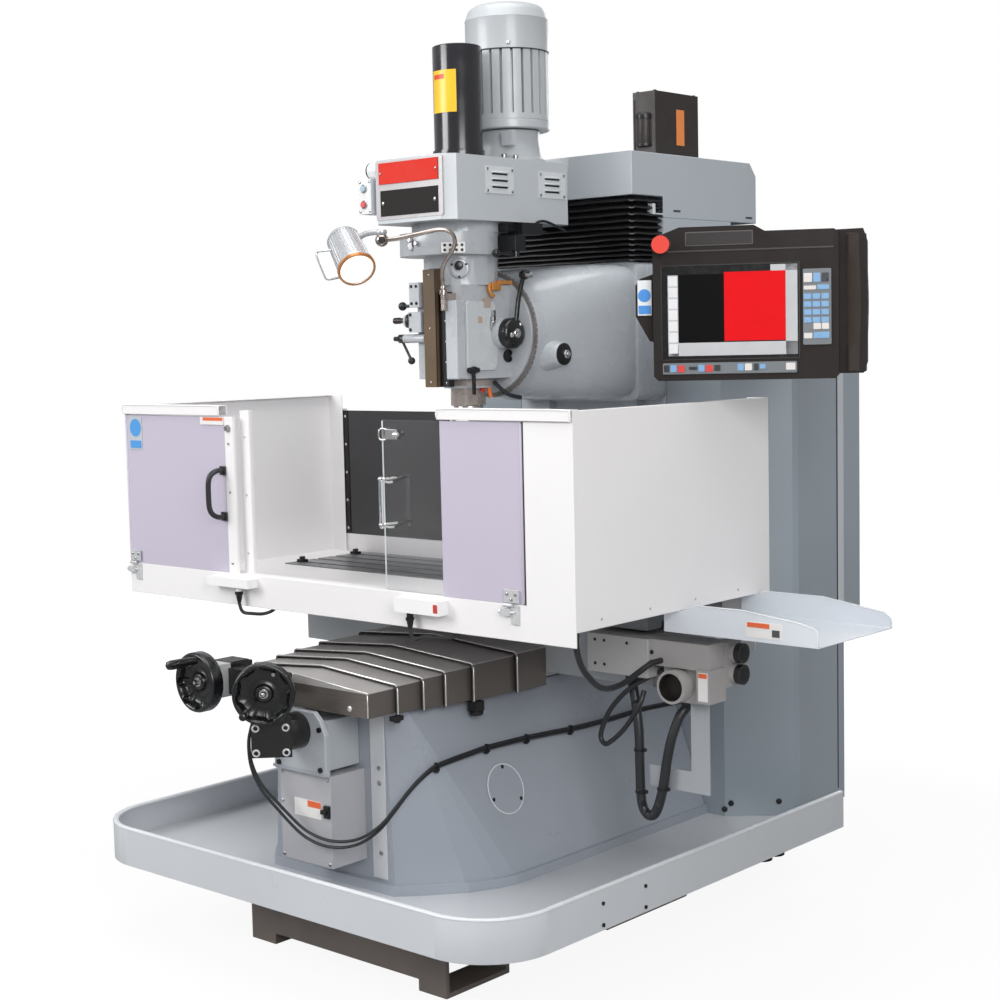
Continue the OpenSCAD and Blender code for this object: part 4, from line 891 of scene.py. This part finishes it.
yoke.sweep(drawn([(104, -8, 1926), (106, -14, 1914), (108, -8, 1898), (110, 4, 1890)], 4), 6, 10)
yoke.done("feed_yoke", finish("orange_casting", "c9853f", 0.35, 0.2, drift=0.12, patch=20, coat=0.3),
    "head", edge=2.5)
for name, colour, points in [("red", "c43a2c", [(52, 8, 1640), (56, 2, 1622), (64, -6, 1612)]),
        ("orange", "e8722f", [(60, 22, 1636), (62, 26, 1612), (64, 30, 1592)]),
        ("black", "22252b", [(66, 44, 1638), (76, 70, 1612), (88, 92, 1596), (96, 130, 1588)])]:
    nozzle = Stock().sweep(drawn(points, 6), 7, 12, ribs=0.2)
    nozzle.done(f"coolant_nozzle_{name}", finish(f"nozzle_{name}", colour, 0.4, drift=0.06), "head", smooth=60)
plate("speed_gear_cover", (94, 177.5, 26.5, 73.5, 2020.5, 2067.5), black_iron, "head", edge=2, slot=None)
switch = Stock().block(120, 178, 60, 150, 2070, 2104).block(96, 150, 20, 64, 2078, 2102)
switch.rod((150, 150, 2086), (150, 196, 2080), 5, 12)
switch.sweep(drawn([(150, 130, 2100), (170, 160, 2112), (178, 210, 2100), (176, 260, 2086)], 8), 4, 10)
switch.done("speed_switch", black_iron, "head", edge=1.5)

# ---- Belt housing, motor and drawbar cover
# The cast belt housing tops the head, with the finned spindle motor and the black tube
# of the power drawbar standing on it. Bare plates and louvres are screwed to it.
dress("belt_housing", finish("housing_paint", "bcc1c5", 0.34, drift=0.035, patch=3, grain_mm=14, coat=0.35,
    zones=[("X", -214, -162, "dcdddd", 0.4, 0)]), 8, 4)
cover_edge = [(-128, 2116), (132, 2116), (137, 2122), (137, 2282), (130, 2287), (-126, 2287), (-132, 2282),
    (-132, 2122)]
Stock().loft([[(x, y, z) for x, z in cover_edge] for y in (-234.4, -228)]).done(
    "housing_front_frame", finish("frame_paint_light", "b4b0b2", 0.32, drift=0.03, coat=0.35), "head", edge=1.5,
    slot="frame_paint")
dress("head_plates", finish("housing_plates", "cfd2d4", 0.5, drift=0.03,
    zones=[("Y", -237, -232, "120e0c", 0.8, 0)]), 0.5)
red_enamel = finish("red_enamel", "cf2716", 0.55, drift=0.03, patch=8, specular=0.25)
plate("red_nameplate", (-116, 122, -237.2, -235.8, 2219, 2280), red_enamel, "head", edge=0.6)
dark_front, red_front, box_face, side_face = -236, -237.2, -226, 162
rivets = Stock().screws([(x, dark_front, 2164) for x in (-100, 108)], FRONT, 6, 3)
rivets.screws([(x, red_front, 2250) for x in (-108, 114)], FRONT, 3.5, 3)
rivets.screws([(x, box_face, z) for x in (-206, -166) for z in (2148, 2234)], FRONT, 4.5, 2)
slots, hoods = Stock(), Stock()
hood = [(0, 26, 3.5), (2.5, 31, 4.5), (3, 62, 4.5), (2.5, 93, 4.5), (0, 98, 3.5)]
for y0, z0 in [(-80, 2184), (156, 2181)]:
    rivets.screws([(side_face, y, z) for y in (y0 + 8, y0 + 116) for z in (z0 + 8, z0 + 70)], RIGHT, 4.5, 3)
    for z in (z0 + 19, z0 + 38, z0 + 57):
        slots.block(side_face - 1.6, side_face - 0.8, y0 + 27, y0 + 97, z - 4, z + 4)
        hoods.sweep([(side_face + x, y0 + y, z + lift) for x, y, lift in hood], 2.6, 8)
rivets.done("housing_rivets", steel, "head")
slots.done("louvre_shadows", finish("louvre_dark", "1d1d1f", 0.6, drift=0.1), "head")
hoods.done("louvre_hoods", finish("louvre_paint", "d5d8da", 0.33, drift=0.03, coat=0.3), "head", smooth=60,
    slot="plates")
selector_y, selector_z = -180, 2268
selector = Stock().turned((-199, selector_y, selector_z), LEFT,
    [(0, 25), (3, 25), (4, 22), (7, 22), (8, 12)], 36)
selector.done("selector_knob", wheel_black, "head", slot="black_plastic")
Stock().turned((-206.6, selector_y, selector_z), LEFT, [(0, 14), (1.5, 13), (2, 6)], 28).done(
    "selector_disc", finish("selector_yellow", "b49a52", 0.35, 0.5), "head")
dress("start_button", finish("button_blue", "9fb4bd", 0.3, drift=0.04, coat=0.4), 0.8)
dress("stop_button", finish("button_red", "cf4a45", 0.3, drift=0.04, coat=0.4), 0.8)
bezels = Stock()
for z in (2168, 2214):
    bezels.turned((-190, box_face, z), FRONT, [(0, 13), (2, 13), (3, 10.5), (0, 10)], 28)
bezels.done("button_bezels", finish("bezel_grey", "b4b7b8", 0.3, 0.6), "head")

motor_grey = finish("motor_paint", "b3b7ba", 0.37, drift=0.03, patch=5, grain_mm=10, coat=0.2)
motor_y, grooves, groove_r, rib_r = 211, 24, 108, 123.5
groove = [(0, False), (0.012, True), (0.055, True), (0.067, False), (0.12, False), (0.18, False), (0.23, False)]
rings = []
for z, grooved in [(2420, False), (2436, False), (2437, True), (2629, True)]:
    ring = []
    for k in range(grooves):
        for turned_by, in_groove in groove:
            r = groove_r if grooved and in_groove else rib_r
            x, y = spoke(360 * k / grooves + math.degrees(turned_by), r)
            ring.append((x, motor_y + y, z))
    rings.append(ring)
motor = Stock().loft(rings)
motor.turned((0, motor_y, 2290), UP, [(0, 110), (14, 110), (22, 100), (50, 96), (78, 92), (100, 94)], 64)
motor.turned((0, motor_y, 2393), UP, [(0, 122), (3, 124.5), (24, 124.5), (27, 122)], 72)
motor.turned((0, motor_y, 2626), UP, [(0, 124), (1, 127), (92, 127), (95, 128), (98, 127), (106, 124),
    (114, 121), (122, 118), (130, 112), (137, 101), (142, 84), (145, 60), (146.5, 30), (146.8, 1)], 72)
motor.block(-70, -10, 78, 100, 2360, 2396).block(60, 100, 108, 130, 2340, 2380)
motor.done("spindle_motor", motor_grey, "head", smooth=32, stands_for=["head_motor"], slot="motor")
motor_bits = Stock().screw((86, 118, 2640), (0.68, -0.73, 0), 6, 4)
motor_bits.screw((-92, 124, 2640), (-0.7, -0.7, 0), 6, 4)
motor_bits.rod((60, 118, 2304), (60, 118, 2316), 9, 16).rod((86, 140, 2300), (86, 140, 2312), 8, 16)
motor_bits.done("motor_screws", steel, "head")
gap = Stock().turned((0, motor_y, 2623), UP, [(0, 112), (0.5, 125), (3, 125), (3.5, 112)], 72, caps=False)
gap.done("cowl_gap", finish("cowl_shadow", "2a2b2d", 0.6, drift=0.1), "head")

tube_black = finish("drawbar_enamel", "1b1b20", 0.2, drift=0.12, patch=6, grain=0.03, grain_mm=8, coat=0.55)
dress("drawbar_cover", tube_black, 2, 3)
drawbar_y = -15


def wrapped_plate(name, a0, a1, z0, z1, r, material):
    """A thin plate bent round the drawbar's tube from angle a0 to a1."""
    rings = []
    for k in range(21):
        a, outer = a0 + (a1 - a0) * k / 20, r + 0.7
        corners = [(*spoke(a, r), z0), (*spoke(a, outer), z0), (*spoke(a, outer), z1), (*spoke(a, r), z1)]
        rings.append([(x, drawbar_y + y, z) for x, y, z in corners])
    Stock().loft(rings).done(name, material, "head", slot="plates")


wrapped_plate("drawbar_plate", -121, -50, 2427, 2549, 72.2, finish("yellow_plate", "e9bb28", 0.36, drift=0.04,
    patch=10, coat=0.2))
wrapped_plate("drawbar_plate_band", -113, -80, 2524, 2537, 72.9, finish("plate_red", "cf4a2d", 0.4, drift=0.04))
drawbar_bits = Stock().turned((0, drawbar_y, 2288), UP, [(0, 80), (10, 80), (14, 78)], 64)
drawbar_bits.turned((0, drawbar_y, 2619), UP, [(0, 70), (4, 69), (6, 62), (6.5, 1)], 64)
for x, y in (spoke(a, 77) for a in range(10, 370, 60)):
    drawbar_bits.screw((x, drawbar_y + y, 2306), (x, y, 0), 4, 2)
drawbar_bits.done("drawbar_flange", tube_black, "head", smooth=30)

# ---- Scale guard, lamp pipe and lamp
# A brown painted channel with a black cover shields the quill's scale. A bent steel pipe
# from the head's side carries the swivelling work lamp.
dress("scale_guard", finish("channel_paint", "5e4a31", 0.44, drift=0.12, patch=8, grain=0.08, grain_mm=3,
    coat=0.15, zones=[("X", 17.2, 60, "1d1c1d", 0.4, 0)]), 1.5)
channel_screws = Stock().screws([(-8, -150, z) for z in (1642, 1800, 1955)], FRONT, 3.5, 2)
channel_screws.screws([(40, -134, z) for z in range(1640, 1900, 60)], FRONT, 3.2, 2).done(
    "channel_screws", steel, "head")
dark_edge = Stock().block(17.2, 20, -138, -134, 1630, 1905).block(15, 17.6, -150.8, -149, 1630, 1970)
dark_edge.block(34, 37, -134.6, -133.8, 1634, 1900).done(
    "scale_slot", finish("scale_dark", "0d0d0e", 0.5), "head")
pipe_run = [(55, -153, 1861), (55, -156, 1924), (58, -162, 1956), (72, -169, 1982), (103, -181, 2004),
    (134, -193, 2024), (150, -203, 2044), (153, -213, 2060), (146, -227, 2072), (131, -246, 2076),
    (107, -269, 2070), (73, -298, 2061), (39, -324, 2053), (10, -340, 2051)]
joint = Vector((0, -345, 2051))
pipe = Stock().sweep(drawn(pipe_run, 7), 6.2, 16)
pipe.block(48.3, 62, -160, -108, 1850, 1900)
pipe.turned((55, -156, 1896), UP, [(0, 12), (14, 12), (18, 8), (26, 7)], 24)
pipe.ball(joint, 19).rod(joint + Vector((0, 0, -15)), joint + Vector((0, 0, 13)), 13)
toward = Vector((0.69, -0.72, -0.05)).normalized()
Stock().rod(joint + toward * 14, joint + toward * 20.5, 10).done("joint_cap", black_iron, "head")
pipe.done("lamp_pipe_bent", finish("pipe_nickel", "b5aaa2", 0.22, 0.95, drift=0.08, patch=25), "head", edge=0.8,
    smooth=50, stands_for=["lamp_pipe"], slot="steel")
lamp_silver = finish("lamp_silver", "c3c5c8", 0.34, 0.55, patch=15, coat=0.2)
shade_place = Matrix.Translation((-0.011, -0.435, 1.967)) @ Matrix.Rotation(math.radians(154.9), 4, "Z")
shade_place = shade_place @ Matrix.Rotation(math.radians(52.3), 4, "Y")
shade = Stock(shade_place)
shade.turned((0, 0, 0), UP, [(26, 20), (24, 44), (2, 49), (0, 51.5), (2, 54), (12, 54.3), (14, 52),
    (16, 49)], 72)
flute = 2.6
fluted = []
for z, r in ((14, 52), (138, 47.5)):
    fluted.append([(*spoke(360 * k / 192, r - flute * (k % 6 > 3)), z) for k in range(192)])
shade.loft(fluted)
shade.turned((0, 0, 0), UP, [(136, 40), (138, 48), (144, 48), (149, 45), (151, 38), (151.5, 8)], 72)
shade.done("lamp_shade", lamp_silver, "lamp", smooth=32, stands_for=["lamp"], slot="lamp")
arm = Stock().sweep(drawn([(0, -345, 2072), (-24, -357, 2073), (-48, -369, 2068), (-70, -381, 2052)], 6), 8, 14)
arm.rod((0, -345, 2065.5), (0, -345, 2080), 15, 28)
middle, beside, up = Vector((-67, -409, 2015)), Vector((0.746, 0.666, 0)), Vector((-0.06, 0.068, 0.996))
bail = [middle + beside * a + up * b for a, b in [(-40, 12), (-69, 9), (-88, 7), (-93, 0), (-90, -14),
    (-72, -62), (-66, -71), (-56, -72), (-24, -66)]]
arm.sweep(drawn(bail, 5), 5.5, 10, flat=0.5)
arm.done("lamp_arm", lamp_silver, "lamp", smooth=50, slot="lamp")
glowing, tree, lens = blank_material("lamp_lens")
where = add_node(tree, "TexCoord").outputs["Object"]
cells = add_node(tree, "TexVoronoi", ("Scale", 110), ("Vector", where)).outputs["Distance"]
warm = ramp(tree, cells, (1, 1, 0.97), (1, 0.86, 0.68))
connect(tree, lens, ("Roughness", 0.15), ("Emission Strength", 0.9), ("Emission Color", warm),
    ("Base Color", warm))
Stock(shade_place).turned((0, 0, 3), UP, [(0, 1), (0.5, 34), (3, 48), (5, 48), (7, 10)], 48).done(
    "lamp_glass", glowing, "lamp", slot="lamp")
rim_ring = Stock(shade_place).turned((0, 0, 0), UP, [(-1.5, 48), (-2.5, 51), (0, 54.6), (5, 55), (7, 54)],
    56, caps=False)
rim_ring.done("lamp_rim", finish("lamp_copper", "d08a52", 0.3, 0.6, drift=0.06), "lamp", smooth=50, slot="lamp")

# ---- Bellows
# Pleated black rubberised cloth fixed to the top cover above and to the ram below. It
# closes up and opens out as the head travels.
pleats, top, bottom, wall_y, cloth = 11, 2194.7, 1995.3, 585, 3
rings = []
for i in range(2 * pleats + 1):
    t, outer_fold = i / (2 * pleats), i % 2
    z = top - (top - bottom) * (t * 1.25 - 0.25 * t * t) if t < 1 else bottom
    inward, sag = (0, 4) if outer_fold else (22 - 4 * t, 0)
    w, front = 297 - inward, 434 + inward
    line = [(w, wall_y, z)]
    line += [(w, wall_y - (wall_y - front - 14) * k / 6, z - sag * (1 + 0.2 * math.sin(k * 1.3 + i)))
        for k in range(1, 7)]
    line += [(w - 6, front + 6, z - sag * 1.6)]
    line += [((w - 14) * (1 - k / 9), front, z - sag * (1 + 0.2 * math.sin(k + i * 0.7))) for k in range(10)]
    ring = line + mirrored(line[:-1])
    inner = [(x * (w - cloth) / w, y + cloth if abs(y - front) < 8 else y, q) for x, y, q in ring]
    for lift in ((2, -2) if outer_fold else (0,)):
        rings.append([(x, y, q + lift) for x, y, q in ring + inner[::-1]])
Stock().loft(rings).done("pleated_bellows", finish("bellows_cloth", "161618", 0.45, drift=0.2, patch=12,
    grain=0.2, grain_mm=2.5, coat=0.1), None, smooth=28, stands_for=["bellows"], slot="bellows",
    ends=("machine", "head", (0, 0.5, 2.195), (0, 0.5, 1.9955)))

# ---- Quill, spindle and levers
# The ground quill slides in the head and the spindle turns in it. Black levers feed and
# lock the quill and set the speed; the stop's steel lever has a ball end.
dress("quill", finish("quill_steel", "a89f98", 0.3, 0.5, patch=15, grain=0.02), 1.2)
dress("spindle", finish("spindle_steel", "c2c0be", 0.24, 0.8, drift=0.06, patch=15, grain=0.02), 1.2)
hub_y, hub_z, knob_y, knob_z = 40, 1781, 82, 1952
feed = Stock()
feed.turned((129.5, hub_y, hub_z), RIGHT, [(0, 42), (2, 45.5), (22, 46), (29, 42), (33, 34), (34.5, 8)], 56)
stem = [(156, 46, 1812), (157, 49, 1830), (157, 56, 1870), (157, 70, 1915), (157, 82, 1946)]
feed.sweep(drawn(stem, 6), 8, 16, across=BACK, flat=0.8)
feed.turned((150, knob_y, knob_z), RIGHT, [(0, 12), (6, 14), (18, 14), (22, 11)], 32)
feed.done("feed_lever", wheel_black, "quill_lever", smooth=40, stands_for=["quill_lever"], slot="black_metal")
feed_chrome = Stock().turned((163, hub_y, hub_z), RIGHT, [(0, 14), (5, 14), (8, 11), (9, 6)], 28)
feed_chrome.turned((171, knob_y, knob_z), RIGHT, [(0, 10), (8, 11), (19, 10), (20.5, 6)], 28)
feed_chrome.nut((162, 17, 1776), RIGHT, 8, 6).ball((160, 60, 1806), 6).done(
    "feed_lever_bolts", chrome, "quill_lever", smooth=40, slot="steel")
dress("speed_lever", wheel_black, 0)
dress("lock_lever", wheel_black, 1.5)
dress("stop_lever", finish("stop_lever_steel", "3c3a3a", 0.3, 0.6, drift=0.1, patch=20), 0.8)

# ---- Control pendant
# A moulded black-brown housing with a bezel, a bare screen and pads of unlettered keys,
# hung on a swinging arm from the right cabinet. Its red stop button presses in.
turn = Matrix.Translation((1.024, -0.051, 1.835)) @ Matrix.Rotation(math.radians(28.5), 4, "Z")
pendant_paint = finish("pendant_moulding", "241f1d", 0.55, drift=0.07, patch=5, grain=0.3, grain_mm=1.6,
    specular=0.22)
dress("pendant", pendant_paint, 3, 3)
dress("pendant_arm", finish("arm_paint", "3a3a3b", 0.45, drift=0.08, patch=8, grain=0.1), 3, 3)
dress("estop", finish("stop_red", "e2473a", 0.25, drift=0.03, coat=0.5), 4, 4)


def tray(stock, x0, x1, z0, z1, y0, y1, r):
    """A plate with rounded corners, from y1 forward to y0."""
    ring = []
    for cx, cz, a0 in [(x1 - r, z1 - r, 0), (x0 + r, z1 - r, 90), (x0 + r, z0 + r, 180), (x1 - r, z0 + r, 270)]:
        for x, z in (spoke(a0 + 18 * k, r) for k in range(6)):
            ring.append((cx + x, cz + z))
    stock.loft([[(x, y, z) for x, z in ring] for y in (y1, y0)])


def face_piece(name, colour, plates, y0, y1, rough=0.3, r=3, coat=0.2, shine=0.5):
    """Thin plates of one colour on the pendant's face, each [x0, x1, z0, z1]."""
    s = Stock(turn)
    for x0, x1, z0, z1 in plates:
        tray(s, x0, x1, z0, z1, y0, y1, min(r, (x1 - x0) / 2.1, (z1 - z0) / 2.1))
    look = finish(name + "_finish", colour, rough, drift=0.03, patch=20, grain=0.03, coat=coat, specular=shine)
    s.done(name, look, "pendant", edge=0.3, slot="plates")


screen = {"coat": 0, "shine": 0.1}
face_piece("top_band", "3a3330", [(-226, 226, 142, 146)], -1.6, 1, rough=0.5, r=1.5)
face_piece("screen_frame", "0b0b0d", [(-214, 137, -134, 106)], -1.2, 6, rough=0.22, r=10)
border = [(-199, -172, -126, 83), (-199, 134, -126, -92), (104, 134, -126, 104), (66, 134, 88, 104)]
face_piece("screen_border", "bcbdbf", border, -1.7, -1, rough=0.6, r=1, **screen)
face_piece("screen_dark", "060607", [(-172, -53, -91, 84)], -2.0, -1.2, rough=0.5, r=0.5, **screen)
face_piece("screen_red", "dc1219", [(-53, 104, -89, 88)], -2.1, -1.2, rough=0.6, r=0.5, **screen)
face_piece("soft_keys", "dddedf", [(-197, -174, 80 - 29 * k - 25, 80 - 29 * k) for k in range(7)], -2.2, -1.6,
    rough=0.6, r=1.5, **screen)
face_piece("screen_frame_lip", "25211f", [(-216, 139, 106, 109), (-216, 139, -137, -134), (137, 140, -136, 108),
    (-217, -214, -136, 108)], -2, 1, rough=0.4, r=1)
face_piece("key_panel", "6f7478", [(148, 219, -103, 90)], -3, 0, rough=0.42)
face_piece("key_strip", "6f7478", [(-214, 132, -173, -144)], -3, 0, rough=0.42)
keys = {"keys_white": ["d9d5d2", (150, 171, 56, 79), (150, 181, 37, 47), (174, 193, -64, -48),
    (195, 213, -64, -48), (150, 171, -87, -73), (-1, 17, -166, -148), (104, 128, -166, -148)],
    "keys_blue": ["7da7cf", (174, 192, 56, 79), (184, 214, 37, 49), (174, 214, -87, -71),
    (-194, -178, -167, -149), (-121, -105, -167, -149), (-20, -4, -166, -148), (37, 52, -162, -150)],
    "keys_dark": ["33363a", (195, 213, 56, 79), (-211, -197, -167, -149), (-146, -124, -162, -154),
    (-80, -64, -166, -150), (22, 34, -166, -148)], "keys_red": ["d6453f", (-175, -157, -168, -150),
    (-102, -84, -168, -150)]}
keys["keys_blue"] += [(150 + 22 * i, 169 + 22 * i, 13 - 20 * j, 27 - 20 * j) for i in range(3)
    for j in range(4)]
for name, (colour, *places) in keys.items():
    face_piece(name, colour, places, -4.2 if name == "keys_dark" else -4.4, -2.8, r=2)
face_piece("name_frame", "55504c", [(-152, 22, 157, 193)], -0.9, 1, rough=0.4, r=2)
face_piece("name_plate", "252120", [(-149.5, 19.5, 159.5, 190.5)], -1.6, 1, rough=0.4, r=1.5)
face_piece("wing_plate", "e4e6e8", [(-284, -247, -18, 74)], 38.4, 40, r=1)
wing_badge = Stock(turn)
wing_badge.turned((-266, 38.6, 34), FRONT, [(0, 17), (0.6, 17), (0.8, 14)], 36)
tray(wing_badge, -282, -249, -14, 8, 37.6, 38.6, 1)
wing_badge.done("wing_badge", finish("badge_blue", "4a90d9", 0.35, drift=0.03, coat=0.2), "pendant",
    slot="plates")
face_piece("estop_base", "111112", [(-236, -188, 138, 186)], -0.8, 0, rough=0.35, r=22)
collar = Stock(turn).turned((-212, -1, 162), FRONT, [(0, 22), (4, 22), (6, 19), (12.5, 19), (13.5, 17.6),
    (13.5, 15.6), (0, 15.6)], 40, caps=False)
collar.done("estop_collar", finish("collar_black", "141415", 0.35, drift=0.1, coat=0.2), "pendant",
    slot="black_plastic")
inner_x, low_z, height, levels = 246, -176, 356, 14
profile = [(0, 34), (16, 26), (46, 30), (60, 46), (62, 100), (52, 116), (4, 116)]
rings = []
for k in range(levels + 1):
    pinch = 1 - 0.045 * math.cos(math.tau * k / levels)
    rings.append([(inner_x + x * pinch, y, low_z + height * k / levels) for x, y in profile])
Stock(turn).loft(rings).done("side_grip", finish("grip_brown", "332923", 0.5, drift=0.07, patch=5, grain=0.3,
    grain_mm=1.6, specular=0.25), "pendant", edge=4, slot="pendant_paint")
Stock(turn).block(238, 247, 32, 118, -172, 176).done(
    "grip_recess", finish("recess_black", "0e0d0d", 0.6, drift=0.1), "pendant")
